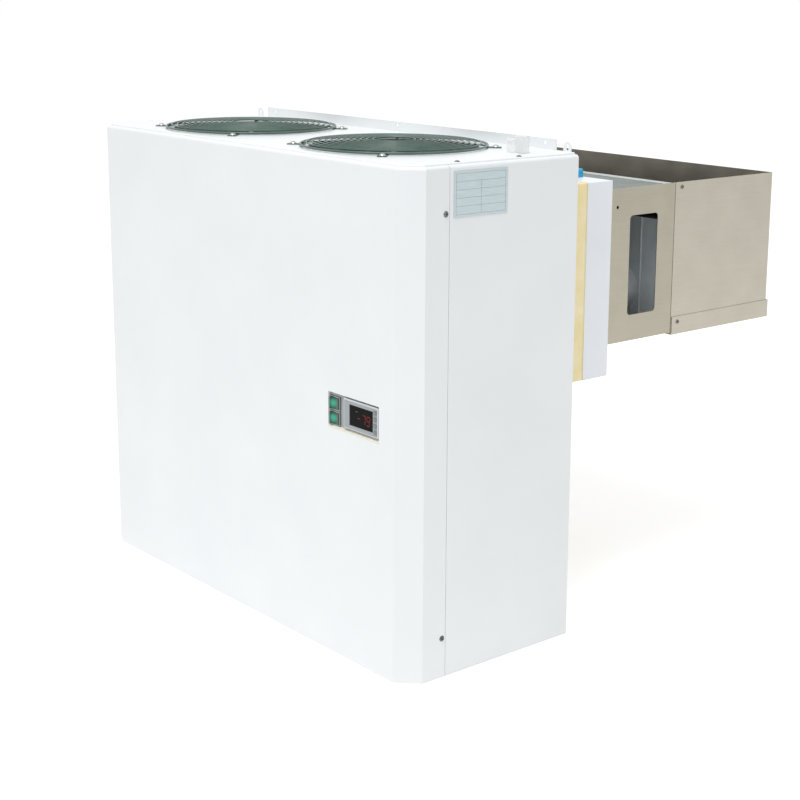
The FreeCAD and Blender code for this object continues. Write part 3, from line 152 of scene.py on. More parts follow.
# Dip-moulded PVC coat on wire: smooth, slightly waxy, with a soft highlight along each ring.
dipped, tree, shader, place = finish_of("dipped_guard_wire", "#466258", 0.38, coat=0.2)
tint(tree, shader, patches(tree, place, 30.0, 0.0, 1.0), "#3E584F", "#4F6C62")
relief(tree, shader, patches(tree, place, 2.5, 0.0, 1.0), 0.03)
dress(dipped, "fan_guard_left", "fan_guard_right")


# Screws. Zinc-plated steel with low domed heads and a cross recess, the smaller ones in the
# evaporator box. They hold the cover, the top, the guards and the coil casing. The left pair on
# the top is painted with the panel.

def new_piece(name, vertices, faces, material, body, smooth=True):
    """A mesh piece at the origin, riding on a body, with the finish that it is given."""
    mesh = bpy.data.meshes.new(name)
    mesh.from_pydata(np.asarray(vertices).tolist(), [], [list(map(int, f)) for f in faces])
    mesh.update()
    if smooth:
        mesh.shade_smooth()
    piece = bpy.data.objects.new(name, mesh)
    bpy.context.collection.objects.link(piece)
    mesh.materials.append(material)
    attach(piece, body)
    return piece


def grid_faces(rows, columns, wrap=False):
    """Quads of a grid of points stored row by row, closed round its columns if wrap is set."""
    across = columns if wrap else columns - 1
    i, j = np.meshgrid(np.arange(rows - 1), np.arange(across), indexing="ij")
    k = (j + 1) % columns
    quads = [i * columns + j, i * columns + k, (i + 1) * columns + k, (i + 1) * columns + j]
    return np.stack(quads, axis=-1).reshape(-1, 4)


def facing(out):
    """A rotation, as three rows, that turns +Z to an axis given by out."""
    out = np.array(out, float)
    side = np.array([0.0, 1.0, 0.0]) if abs(out[0]) > 0.5 else np.array([1.0, 0.0, 0.0])
    return np.stack([side, np.cross(out, side), out])


def screw_head(radius, height, reach, around=48, rings=14):
    """A dome of revolution with a cross cut into it, then a short plain shank.

    Height over the base is height * (1 - (r / radius) ** 2.4), less a recess that is deepest at
    the axis and lies where the nearer of two crossed lines is under a blade's half width away.
    """
    r = radius * np.linspace(0.04, 1.0, rings) ** 0.8
    angle = np.arange(around) * 2 * math.pi / around
    rr, aa = np.meshgrid(r, angle, indexing="ij")
    x, y = rr * np.cos(aa), rr * np.sin(aa)
    near_line = np.clip(2.2 * (1 - np.minimum(abs(x), abs(y)) / (radius * 0.16)), 0, 1)
    near_axis = np.clip(2.5 * (1 - rr / (radius * 0.62)), 0, 1)
    z = height * (1 - (rr / radius) ** 2.4) - height * 0.7 * near_line * near_axis
    rows = [np.stack([x, y, z], axis=-1).reshape(-1, 3)]
    for depth in (0.0, -reach):
        rows.append(np.stack([radius * 0.44 * np.cos(angle), radius * 0.44 * np.sin(angle),
                              np.full(around, depth)], axis=-1))
    points = np.concatenate(rows)
    quads = grid_faces(rings + 2, around, wrap=True)
    caps = [list(range(around))[::-1], list(range(len(points) - around, len(points)))]
    return points, [list(q) for q in quads[:, ::-1]] + caps


def screws(name, spots, radius, height, reach, finish):
    """One mesh of all the screws at (place, outward axis) spots."""
    head, faces = screw_head(radius, height, reach)
    points = [head @ facing(out) + np.array(at) for at, out in spots]
    every = [[v + n * len(head) for v in face] for n in range(len(spots)) for face in faces]
    return new_piece(name, np.concatenate(points), every, finish, "unit")


def plated_steel(name, dark, light, rough):
    """Zinc plate with its passivate: grey metal with a faint warm and blue drift."""
    made, tree, shader, place = finish_of(name, light, rough, metal=1.0)
    tint(tree, shader, patches(tree, place, 4.0, 0.0, 1.0), dark, light)
    tree.links.new(patches(tree, place, 2.0, rough - 0.04, rough + 0.06),
                   shader.inputs["Roughness"])
    return made


clear_zinc = plated_steel("clear_zinc_plate", "#A9A79C", "#BEC1C2", 0.28)
# The second copy is the same zinc plate with a darker base colour: a painted dark reflection on
# the screw heads.
zinc_painted_dark_reflection = plated_steel("zinc_plate_painted_dark_reflection", "#5C5B57", "#7C7D7E", 0.24)
dress(clear_zinc, "tie_rods")

fan_x, fan_y = 0.190, -0.160
cover_spots = [((side * 0.420, -0.254, z), (side, 0, 0)) for side in (-1, 1)
               for z in (0.060, 0.677)]
top_spots = {side: [((side * 0.408, y, 0.746), (0, 0, 1)) for y in (-0.2245, -0.1085)]
             for side in (-1, 1)}
guard_r, lug_reach = 0.140, 0.0125
corner = (guard_r + lug_reach) / math.sqrt(2)
guard_spots = [((side * fan_x + i * corner, fan_y + j * corner, 0.7475), (0, 0, 1))
               for side in (-1, 1) for i in (-1, 1) for j in (-1, 1)]
panel_screws = screws("panel_screws", cover_spots, 0.0045, 0.0024, 0.007, zinc_painted_dark_reflection)
screws("right_top_screws", top_spots[1], 0.0042, 0.0018, 0.007, zinc_painted_dark_reflection)
screws("left_top_screws", top_spots[-1], 0.0042, 0.0018, 0.007, powder)
screws("guard_screws", guard_spots, 0.0055, 0.0034, 0.0085, clear_zinc)
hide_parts("cabinet_screws")
casing_spots = [((side * x, 0.264, z), (side, 0, 0)) for side in (-1, 1)
                for x, z in ((0.3922, 0.456), (0.391, 0.674))]
casing_screws = screws("casing_screws", casing_spots, 0.0036, 0.0024, 0.007, zinc_painted_dark_reflection)
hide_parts("evap_screws")


# Condenser fans. Five glass-filled nylon blades moulded in one piece with the hub, which turns on
# the motor's shaft below. They blow up through the guards.

# Glass-filled nylon, moulded: near black, matt, with a faint fibre grain 1.5 mm across.
nylon, tree, shader, place = finish_of("glass_filled_nylon", "#15191A", 0.5)
grain = patches(tree, place, 1.5, 0.0, 1.0, detail=5.0)
tint(tree, shader, grain, "#101314", "#1D2223")
relief(tree, shader, grain, 0.04)


def blade(root_r, tip_r, root_chord, tip_chord, root_pitch, tip_pitch, sweep, camber, thick,
          span=15, along=13):
    """A twisted, cambered, swept blade about +Z as a closed grid of points.

    At span s the chord and pitch go in straight proportion from root to tip. A point at t along
    the chord, from -1/2 to 1/2, sits at angle sweep * s ** 1.6 + chord * t * cos(pitch) / r and at
    height chord * t * sin(pitch) + camber * (1 - 4 t ** 2). The other skin is lower by the
    thickness, thick * (1 - (2 t) ** 4) ** 0.5 plus a thin edge.
    """
    s, t = np.meshgrid(np.linspace(0, 1, span), np.linspace(-0.5, 0.5, along), indexing="ij")
    r = root_r + (tip_r - root_r) * s
    chord = root_chord + (tip_chord - root_chord) * s
    pitch = np.radians(root_pitch + (tip_pitch - root_pitch) * s)
    angle = sweep * s ** 1.6 + chord * t * np.cos(pitch) / r
    z = chord * t * np.sin(pitch) + camber * (1 - 4 * t ** 2)
    body = thick * (0.25 + 0.75 * np.sqrt(np.clip(1 - (2 * t) ** 4, 0, 1)))
    upper = np.stack([r * np.cos(angle), r * np.sin(angle), z + body / 2], axis=-1)
    lower = np.stack([r * np.cos(angle), r * np.sin(angle), z - body / 2], axis=-1)
    ring = np.concatenate([upper, lower[:, ::-1]], axis=1)
    around = 2 * along
    quads = [list(q) for q in grid_faces(span, around, wrap=True)[:, ::-1]]
    ends = [list(range(around)), list(range((span - 1) * around, span * around))[::-1]]
    return ring.reshape(-1, 3), quads + ends


def lathe(profile, around=72):
    """A profile of (radius, height) pairs turned about +Z; both ends lie on the axis."""
    profile = np.array(profile, float)
    angle = np.arange(around) * 2 * math.pi / around
    r, a = np.meshgrid(profile[1:-1, 0], angle, indexing="ij")
    z = np.repeat(profile[1:-1, 1], around).reshape(r.shape)
    rings = np.stack([r * np.cos(a), r * np.sin(a), z], axis=-1).reshape(-1, 3)
    points = np.concatenate([rings, [[0, 0, profile[0, 1]], [0, 0, profile[-1, 1]]]])
    first, last = len(rings), len(rings) + 1
    edge = len(rings) - around
    faces = [list(q) for q in grid_faces(len(profile) - 2, around, wrap=True)]
    faces += [[first, (i + 1) % around, i] for i in range(around)]
    faces += [[last, edge + i, edge + (i + 1) % around] for i in range(around)]
    return points, faces


def joined(parts):
    """Several (points, faces) as one."""
    points, faces, start = [], [], 0
    for some, ring in parts:
        points.append(np.asarray(some))
        faces += [[int(v) + start for v in face] for face in ring]
        start += len(some)
    return np.concatenate(points), faces


def about_z(points, degrees):
    """Points turned about +Z."""
    c, s = math.cos(math.radians(degrees)), math.sin(math.radians(degrees))
    return points @ np.array([[c, s, 0], [-s, c, 0], [0, 0, 1]])


def fan_wheel(hub_r, hub_h, count, one_blade):
    """A hub with a rounded rim, a sunk web and a boss, and its blades."""
    h = hub_h / 2
    profile = [(0, -h), (hub_r * 0.96, -h), (hub_r, -h + 0.002), (hub_r, h - 0.004),
               (hub_r * 0.985, h - 0.0018), (hub_r * 0.95, h - 0.0004), (hub_r * 0.90, h),
               (hub_r * 0.84, h - 0.0004), (hub_r * 0.82, h - 0.004), (hub_r * 0.42, h - 0.005),
               (hub_r * 0.32, h - 0.0045), (hub_r * 0.30, h - 0.0005), (hub_r * 0.26, h),
               (hub_r * 0.13, h), (hub_r * 0.12, h - 0.002), (0, h - 0.002)]
    points, faces = one_blade
    blades = [(about_z(points, 360 * i / count), faces) for i in range(count)]
    return joined([lathe(profile)] + blades)


air_blade = blade(0.0435, 0.1245, 0.050, 0.080, 34.0, 20.0, 0.28, 0.004, 0.0024)
for side, body in ((-1, "left_fan"), (1, "right_fan")):
    points, faces = fan_wheel(0.045, 0.030, 5, air_blade)
    wheel = new_piece(body + "_wheel", points + np.array([side * fan_x, fan_y, 0.7228]), faces,
                      nylon, body)
    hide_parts("fan_impeller_" + body.split("_")[0])

# Fan motors. Die-cast aluminium cans on four arms that reach out to the bell mouths; the smaller
# ones hang on straps in the evaporator box.

# Die-cast aluminium under a thin grey stoved paint: a fine grain 2 mm across from the die.
cast_can, tree, shader, place = finish_of("stoved_motor_paint", "#E2E9ED", 0.42, coat=0.2,
                                          coat_rough=0.3)
tint(tree, shader, patches(tree, place, 14.0, 0.0, 1.0), "#DCE4E8", "#E9EFF2")
relief(tree, shader, patches(tree, place, 2.0, 0.0, 1.0), 0.05)
dress(cast_can, "fan_motors", "evap_motors")


# Condenser coil. Copper tubes in rows through thin aluminium fins, with return bends outside the
# end plates. It lies flat under the fans on two zinc-plated angles.

# Rolled aluminium foil: bright, a little soft, with a rolling grain 0.8 mm wide along the strip.
foil, tree, shader, place = finish_of("rolled_fin_foil", "#C9CCCE", 0.36, metal=1.0)
grain = patches(tree, place, 0.8, 0.0, 1.0, stretch=(1.0, 0.04, 1.0))
tint(tree, shader, grain, "#BCC0C3", "#D3D6D8")
tree.links.new(patches(tree, place, 25.0, 0.30, 0.44), shader.inputs["Roughness"])


def fin_stack(node, count, waves, swell, thick=0.00022):
    """Thin corrugated plates spread along X over a node's box, each a closed strip.

    Station j of a plate lies at x + swell * cos(pi * j), half the metal's thickness to each side,
    so the plate zigzags along Y and its front and rear edges are straight lines up Z.
    """
    (x0, y0, z0), (x1, y1, z1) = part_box(node)
    j = np.arange(waves + 1)
    y = y0 + (y1 - y0) * j / waves
    wave = swell * np.cos(math.pi * j)
    outline = np.concatenate([np.stack([wave + thick / 2, y], axis=-1),
                              np.stack([wave - thick / 2, y], axis=-1)[::-1]])
    n = len(outline)
    edge = swell + thick / 2
    x = np.linspace(x0 + edge, x1 - edge, count)
    plates = np.zeros((count, 2, n, 3))
    plates[..., 0] = x[:, None, None] + outline[None, None, :, 0]
    plates[..., 1] = outline[None, None, :, 1]
    plates[:, 0, :, 2] = z0
    plates[:, 1, :, 2] = z1
    one = [[k, (k + 1) % n, n + (k + 1) % n, n + k] for k in range(n)]
    for k in range(waves):
        one.append([k + 1, k, n - 1 - k, n - 2 - k])
        one.append([n + k, n + k + 1, 2 * n - 2 - k, 2 * n - 1 - k])
    faces = (np.array(one)[None] + 2 * n * np.arange(count)[:, None, None]).reshape(-1, 4)
    return plates.reshape(-1, 3), faces


points, faces = fin_stack("condenser_fins", 229, 10, 0.0006)
fins = new_piece("condenser_fin_pack", points, faces, foil, "unit", smooth=False)
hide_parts("condenser_fins")

# Drawn copper tube, dulled: warm brown patches 15 mm long, darker where the joints were brazed.
tube, tree, shader, place = finish_of("dulled_copper_tube", "#B5764F", 0.34, metal=1.0)
tint(tree, shader, patches(tree, place, 15.0, 0.0, 1.0), "#8E5A3E", "#C58862")
tree.links.new(patches(tree, place, 9.0, 0.26, 0.46), shader.inputs["Roughness"])
dress(tube, "condenser_tubes", "evap_tubes", "refrigerant_pipes")


# Compressor and receiver. A drawn steel pot welded round its middle and painted black, on four
# rubber mounts, with a plastic cover over its terminals, and a black steel tank beside it.

# Black stoving enamel over drawn steel: semi-gloss, with runs and swell about 20 mm across.
enamel, tree, shader, place = finish_of("black_stoving_enamel", "#141516", 0.3, coat=0.3)
tint(tree, shader, patches(tree, place, 20.0, 0.0, 1.0), "#0F1011", "#1B1D1E")
relief(tree, shader, patches(tree, place, 12.0, 0.0, 1.0), 0.06)
dress(enamel, "compressor_shell", "receiver")

# Cast iron as it leaves the sand: grey, rough, with pits 1.5 mm across.
iron, tree, shader, place = finish_of("sand_cast_iron", "#4A4C4D", 0.62, metal=0.8)
pits = patches(tree, place, 1.5, 0.0, 1.0, detail=6.0)
tint(tree, shader, pits, "#3A3C3D", "#5A5C5D")
relief(tree, shader, pits, 0.15)
dress(iron, "compressor_core")

# Moulded EPDM rubber: black, dull, with a fine tooth 1 mm across, on the mounts and the seal.
rubber, tree, shader, place = finish_of("moulded_epdm_rubber", "#1B1C1C", 0.72, ior=1.52)
tooth = patches(tree, place, 1.0, 0.0, 1.0)
tint(tree, shader, tooth, "#161717", "#232424")
relief(tree, shader, tooth, 0.05)
dress(rubber, "compressor_mounts", "shroud_seal")


# Electrical box. Grey moulded boxes with a screwed lid, on the rear panel beside the compressor,
# with a terminal strip and a contactor inside.

def moulded(name, dark, light, rough, grain_mm, depth_mm, coat=0.0):
    """Injection-moulded plastic: a spark-eroded grain, and a tone that drifts with it."""
    made, tree, shader, place = finish_of(name, light, rough, coat=coat)
    grain = patches(tree, place, grain_mm, 0.0, 1.0, detail=4.0)
    tint(tree, shader, grain, dark, light)
    relief(tree, shader, grain, depth_mm)
    return made


# ABS with a spark-eroded grain 1.2 mm across: matt, soft highlights, no sparkle.
dress(moulded("grained_grey_abs", "#969A9C", "#A3A7A9", 0.5, 1.2, 0.03), "electrical_box",
      "electrical_lid")
dress(moulded("cream_polyamide", "#C6BFA9", "#D2CCB8", 0.45, 1.5, 0.02), "electrical_parts")
black_abs = moulded("grained_black_abs", "#101112", "#1A1C1D", 0.45, 1.2, 0.03)
dress(black_abs, "terminal_cover", "controller_body")


# Control panel. A grey plate behind a cut-out of the front cover, with two green rocker switches
# one above the other, a controller with a smoked window and a column of keys, and a cream sill.

panel_z = 0.378
# Silver-grey painted ABS, satin, its grain 1 mm across.
silver_abs = moulded("silver_grey_abs", "#949A9C", "#A6ACAE", 0.36, 1.0, 0.02, coat=0.1)
dress(silver_abs, "panel_frame")
dress(moulded("dark_grey_key_abs", "#747A7C", "#848A8C", 0.4, 1.0, 0.02), "controller_key_1",
      "controller_key_2", "controller_key_3", "controller_key_4")

# The bezel is the same, with a painted highlight 1.6 mm wide round the edge of its face.
edge_highlighted_abs, tree, shader, place = finish_of("abs_with_painted_edge_highlight", "#A0A6A8", 0.36, coat=0.1)
bezel_low, bezel_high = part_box("controller_bezel")
axes = add(tree, "ShaderNodeSeparateXYZ", {"Vector": place})
highlight_edges = []
for i, axis in ((0, "X"), (2, "Z")):
    off = add(tree, "ShaderNodeMath", {0: axes.outputs[axis]}, operation="SUBTRACT")
    off.inputs[1].default_value = (bezel_low[i] + bezel_high[i]) / 2
    far = add(tree, "ShaderNodeMath", {0: off.outputs["Value"]}, operation="ABSOLUTE")
    edge = add(tree, "ShaderNodeMath", {0: far.outputs["Value"]}, operation="GREATER_THAN")
    edge.inputs[1].default_value = (bezel_high[i] - bezel_low[i]) / 2 - 0.0016
    highlight_edges.append(edge.outputs["Value"])
painted_highlight_rim = add(tree, "ShaderNodeMath", {0: highlight_edges[0], 1: highlight_edges[1]}, operation="MAXIMUM")
# A band 1.6 mm wide round the bezel's outline is tinted pale: a painted highlight.
tint(tree, shader, painted_highlight_rim.outputs["Value"], "#9BA1A4", "#CDD2D5")
relief(tree, shader, patches(tree, place, 1.0, 0.0, 1.0), 0.02)
dress(edge_highlighted_abs, "controller_bezel")

# Cream polypropylene strip, moulded: satin, its grain 1.5 mm across.
dress(moulded("cream_polypropylene_sill", "#E9E5D2", "#F2EEDD", 0.4, 1.5, 0.02), "panel_sill")

# The switch frames are the same grey on their front face. Every face behind it is painted near
# black, a painted shade in the pocket where the rocker moves.
frame_abs_with_painted_shade, tree, shader, place = finish_of("switch_frame_abs_painted_shade", "#A4AAAC", 0.38)
behind = add(tree, "ShaderNodeSeparateXYZ", {"Vector": place}).outputs["Y"]
painted_shade_pocket = add(tree, "ShaderNodeMath", {0: behind}, operation="GREATER_THAN")
painted_shade_pocket.inputs[1].default_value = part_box("switch_housings")[0][1] + 0.00015
# Faces more than 0.15 mm behind the frame's front are near black: painted shade.
tint(tree, shader, painted_shade_pocket.outputs["Value"], "#8F9698", "#0B0C0C")
dress(frame_abs_with_painted_shade, "switch_housings")

# Green polycarbonate with a moulded gloss. Its colour is a painted highlight, pale round a point
# 2.5 mm under the face in the left part of each rocker, and it falls off to a dark painted shade
# within 8.5 mm of that point.
green, tree, shader, place = finish_of("green_rocker_polycarbonate", "#1F8A68", 0.14, ior=1.5,
                                       coat=0.1, coat_rough=0.05)
shader.inputs["Specular IOR Level"].default_value = 0.3
highlight_centres = []
for name in ("rocker_lower", "rocker_upper"):
    low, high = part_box(name)
    away = add(tree, "ShaderNodeVectorMath", {0: place}, operation="DISTANCE")
    away.inputs[1].default_value = (0.6 * low[0] + 0.4 * high[0], low[1] + 0.0025,
                                    (low[2] + high[2]) / 2)
    highlight_centres.append(away.outputs["Value"])
nearest = add(tree, "ShaderNodeMath", {0: highlight_centres[0], 1: highlight_centres[1]}, operation="MINIMUM")
highlight_falloff = add(tree, "ShaderNodeMapRange", {"Value": nearest.outputs["Value"]}, From_Min=0.0025,
           From_Max=0.0085)
# Pale near each point as a painted highlight, dark further off as a painted shade.
tint(tree, shader, highlight_falloff.outputs["Result"], "#3AA888", "#04402B")
tree.links.new(patches(tree, place, 9.0, 0.10, 0.18), shader.inputs["Roughness"])
dress(green, "rocker_lower", "rocker_upper")

# Smoked acrylic: near black, polished, with an anti-glare skin that dulls what it mirrors.
smoked, tree, shader, place = finish_of("smoked_acrylic", "#080606", 0.12, ior=1.49)
shader.inputs["Specular IOR Level"].default_value = 0.06
tree.links.new(patches(tree, place, 12.0, 0.10, 0.16), shader.inputs["Roughness"])
dress(smoked, "display_window")

# Red seven-segment figures behind the window, drawn on its face because the window is solid: bars
# 1.5 mm wide, leaning 8 degrees, lit dull red.
lit, tree, shader, place = finish_of("red_led_segment", "#B4372B", 0.4)
shader.inputs["Emission Color"].default_value = linear("#C8392C")
shader.inputs["Emission Strength"].default_value = 0.05
tint(tree, shader, patches(tree, place, 3.0, 0.0, 1.0), "#64201A", "#802A22")
shader.inputs["Specular IOR Level"].default_value = 0.1

digit_w, digit_h, bar, lean = 0.0072, 0.0132, 0.0015, math.tan(math.radians(8))
digit_low = panel_z - 0.0086
window_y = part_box("display_window")[0][1]
window_x = (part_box("display_window")[0][0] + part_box("display_window")[1][0]) / 2
segments = {"a": ((0, 1), (1, 1)), "b": ((1, 1), (1, 0.5)), "c": ((1, 0.5), (1, 0)),
            "d": ((0, 0), (1, 0)), "e": ((0, 0.5), (0, 0)), "f": ((0, 1), (0, 0.5)),
            "g": ((0, 0.5), (1, 0.5))}


def bar_of(start, end, left, low):
    """A hexagonal bar between two corners of the figure, 0.1 mm thick, pointed at both ends."""
    a = np.array([left + start[0] * digit_w, low + start[1] * digit_h])
    b = np.array([left + end[0] * digit_w, low + end[1] * digit_h])
    way = (b - a) / np.linalg.norm(b - a)
    out = np.array([-way[1], way[0]]) * bar / 2
    a, b = a + way * bar * 0.18, b - way * bar * 0.18
    side = way * bar / 2
    flat = np.array([a, a + side + out, b - side + out, b, b - side - out, a + side - out])
    flat[:, 0] += (flat[:, 1] - low) * lean
    front = np.stack([flat[:, 0], np.full(6, window_y - 0.0001), flat[:, 1]], axis=-1)
    back = front + np.array([0, 0.0001, 0])
    faces = [[0, 1, 2, 3, 4, 5], [11, 10, 9, 8, 7, 6]]
    faces += [[i, 6 + i, 6 + (i + 1) % 6, (i + 1) % 6] for i in range(6)]
    return np.concatenate([front, back]), faces


bars = []
for left, lit_bars in ((-0.0125, "g"), (-0.001, "abc"), (0.0095, "abcdfg")):
    for name in lit_bars:
        bars.append(bar_of(*segments[name], window_x + 0.001 + left, digit_low))
points, faces = joined(bars)
new_piece("display_figures", points, faces, lit, "unit", smooth=False)

# Two small grey indicator marks in the window's upper left, 0.1 mm thick.
marked, tree, shader, place = finish_of("grey_print", "#5E6363", 0.5)
tint(tree, shader, patches(tree, place, 2.0, 0.0, 1.0), "#565B5B", "#6A6F6F")


def mark(at, width, height):
    """An upright block 0.1 mm thick whose back is on a front-facing surface at this place."""
    x, y, z = at
    corners = [(-width, -height), (width, -height), (width, height), (-width, height)]
    ring = [(x + a / 2, z + b / 2) for a, b in corners]
    points = [(a, y - 0.0001, b) for a, b in ring] + [(a, y, b) for a, b in ring]
    faces = [[0, 1, 2, 3], [7, 6, 5, 4]]
    faces += [[(i + 1) % 4, i, 4 + i, 4 + (i + 1) % 4] for i in range(4)]
    return np.array(points), faces


lamps_at = [(window_x + x, window_y, panel_z + 0.0072) for x in (-0.0135, -0.0105)]
points, faces = joined([mark(at, 0.0018, 0.0012) for at in lamps_at])
new_piece("indicator_marks", points, faces, marked, "unit", smooth=False)


# Data plate on the right side: thin anodised aluminium with rounded corners, left bare but for an
# etched border and ruled lines.

# Anodised aluminium, brushed along Y: streaks 0.6 mm wide, and a cool grey skin.
anodised, tree, shader, place = finish_of("anodised_aluminium", "#B8C5C8", 0.36, metal=1.0)
streaks = patches(tree, place, 0.6, 0.0, 1.0, stretch=(1.0, 0.03, 1.0))
tint(tree, shader, streaks, "#B0BDC0", "#C1CDD0")
dress(anodised, "data_plate")
etched, tree, shader, place = finish_of("etched_line", "#8D999C", 0.6, metal=0.6)
tint(tree, shader, patches(tree, place, 2.0, 0.0, 1.0), "#86928F", "#95A1A6")

plate_low, plate_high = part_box("data_plate")
line_w, margin = 0.0005, 0.004
y0, y1 = plate_low[1] + margin, plate_high[1] - margin
z0, z1 = plate_low[2] + margin, plate_high[2] - margin


def rule(ya, yb, za, zb):
    """A flat line 0.06 mm thick on the plate, between two corners."""
    x0, x1 = plate_high[0] - 0.00004, plate_high[0] + 0.00006
    points = [(x, y, z) for x in (x0, x1) for y in (ya, yb) for z in (za, zb)]
    faces = [[0, 1, 3, 2], [4, 6, 7, 5], [0, 4, 5, 1], [2, 3, 7, 6], [0, 2, 6, 4], [1, 5, 7, 3]]
    return np.array(points), faces


rules = [rule(y0, y1, z, z + line_w) for z in (z0, z1 - line_w)]
rules += [rule(y, y + line_w, z0, z1) for y in (y0, y1 - line_w)]
rules += [rule(y0, y1, z, z + line_w) for z in np.linspace(z0, z1, 6)[1:-1]]
rules.append(rule((y0 + y1) / 2, (y0 + y1) / 2 + line_w, z0, z1 - (z1 - z0) / 5))
points, faces = joined(rules)
new_piece("plate_rules", points, faces, etched, "unit", smooth=False)


# Outlet box on the top. Clear moulded polycarbonate that has gone slightly milky, with a ribbed
# connector beside it.

# Milky polycarbonate: its thin walls let seven tenths of the light straight through and scatter
# the rest.
milky, tree, shader, place = finish_of("milky_polycarbonate", "#FAFCFC", 0.15, ior=1.45)
shader.inputs["Alpha"].default_value = 0.3
tree.links.new(patches(tree, place, 8.0, 0.10, 0.22), shader.inputs["Roughness"])
dress(milky, "outlet_box", "outlet_connector")

# Blue polypropylene, moulded: satin, its tone lighter on the ribs.
dress(moulded("blue_polypropylene", "#1791C0", "#27ABD8", 0.4, 6.0, 0.04), "cable_boot")


# Wall plug. A block of rigid polyurethane foam, cut square, bare next to the cabinet and held in
# a tray of painted sheet behind. Four rods clamp it between the cabinet and the evaporator.

# Rigid polyurethane foam, sawn: cream yellow, matt, with open cells 0.8 mm across drawn 2 mm wide
# so that they show, and a browner tone where light has reached it.
foam, tree, shader, place = finish_of("sawn_polyurethane_foam", "#E8D9AE", 0.85, ior=1.45)
cells = add(tree, "ShaderNodeTexVoronoi", {"Vector": place}, Scale=500.0)
tint(tree, shader, patches(tree, place, 35.0, 0.0, 1.0, detail=5.0), "#F8E6AC", "#FFF3CC")
relief(tree, shader, cells.outputs["Distance"], 0.25)


def foam_collar(half, low, high, y0, y1, around=(120, 60), along=9, round_r=0.0015, rough=0.0004):
    """The sawn sides of a block as a closed tube along Y, with flat ends.

    The outline is a rectangle with arcs of round_r at its corners. Each point is drawn in towards
    the middle by rough * (0.5 + 0.5 * sin of three crossed waves), so the saw's swell shows.
    """
    n, m = around
    cx, cz = half - round_r, (high - low) / 2 - round_r
    mid = (high + low) / 2
    arc = np.linspace(0, math.pi / 2, 5)
    corner = np.stack([np.cos(arc), np.sin(arc)], axis=-1) * round_r
    runs = []
    for k, (sx, sz, count) in enumerate(((1, 1, n), (-1, 1, m), (-1, -1, n), (1, -1, m))):
        c, s = math.cos(k * math.pi / 2), math.sin(k * math.pi / 2)
        turned = corner @ np.array([[c, s], [-s, c]]) + np.array([sx * cx, sz * cz])
        nx, nz = ((-1, 1), (-1, -1), (1, -1), (1, 1))[k]
        after = np.array([nx * cx, nz * cz]) + corner[0] @ np.array(
            [[math.cos((k + 1) * math.pi / 2), math.sin((k + 1) * math.pi / 2)],
             [-math.sin((k + 1) * math.pi / 2), math.cos((k + 1) * math.pi / 2)]])
        t = np.linspace(0, 1, count)[1:-1, None]
        runs += [turned, turned[-1] + (after - turned[-1]) * t]
    ring = np.concatenate(runs)
    y = np.linspace(y0, y1, along)
    rows = np.zeros((along, len(ring), 3))
    rows[..., 0], rows[..., 1], rows[..., 2] = ring[None, :, 0], y[:, None], ring[None, :, 1]
    wave = (np.sin(rows[..., 0] * 210) + np.sin(rows[..., 2] * 260 + rows[..., 1] * 90)
            + np.sin(rows[..., 1] * 400 + rows[..., 0] * 37)) / 3
    dip = rough * (0.5 + 0.5 * wave)
    size = np.array([half, (high - low) / 2])
    rows[..., 0] *= 1 - dip / size[0]
    rows[..., 2] = rows[..., 2] * (1 - dip / size[1]) + mid
    count = len(ring)
    faces = [list(f) for f in grid_faces(along, count, wrap=True)]
    faces += [list(range(count))[::-1], list(range((along - 1) * count, along * count))]
    return rows.reshape(-1, 3), faces


points, faces = foam_collar(0.395, 0.392, 0.696, -0.0012, 0.0475)
collar = new_piece("foam_block", points, faces, foam, "unit")
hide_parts("plug_foam")

# Pre-painted steel sheet: satin blue-white, with the faint lining 6 mm apart that the roll leaves.
prepaint, tree, shader, place = finish_of("prepainted_sheet", "#E8ECF1", 0.38, coat=0.1)
tint(tree, shader, patches(tree, place, 90.0, 0.0, 1.0), "#E9EDF2", "#EFF2F6")
lining = add(tree, "ShaderNodeTexWave", {"Vector": place}, wave_type="BANDS",
             bands_direction="Y", Scale=1000.0 / 6.0 / 2.0, Distortion=0.0)
relief(tree, shader, lining.outputs["Fac"], 0.03)
dress(prepaint, "plug_cladding")


# Evaporator box. Folded stainless sheet: a fan section with a window in each side, and a casing
# round the coil that is open on top. A tray under the coil catches the melt.

def rolled_stainless(name, dark, light):
    """Cold-rolled stainless with a fine brushed grain along the sheet: streaks 0.7 mm wide and
    60 mm long, and a faint mottle 50 mm across from handling.
    """
    made, tree, shader, place = finish_of(name, light, 0.34, metal=1.0)
    streaks = patches(tree, place, 0.7, 0.0, 1.0, detail=2.0, stretch=(0.012, 0.012, 1.0))
    mottle = patches(tree, place, 50.0, 0.0, 1.0, detail=4.0)
    both = add(tree, "ShaderNodeMath", {0: streaks, 1: mottle}, operation="ADD")
    half = add(tree, "ShaderNodeMath", {0: both.outputs["Value"]}, operation="MULTIPLY")
    half.inputs[1].default_value = 0.5
    tint(tree, shader, half.outputs["Value"], dark, light)
    tree.links.new(patches(tree, place, 40.0, 0.32, 0.40), shader.inputs["Roughness"])
    relief(tree, shader, streaks, 0.002)
    return made


# The two casings are from different coils of sheet, the one round the coil a little paler.
dress(rolled_stainless("rolled_stainless_coil_side", "#B0AB9E", "#BAB5A8"), "coil_casing",
      "drain_tray", "evap_end_plates")
dress(rolled_stainless("rolled_stainless_fan_side", "#A39E8F", "#AEA99A"), "evap_fan_casing")

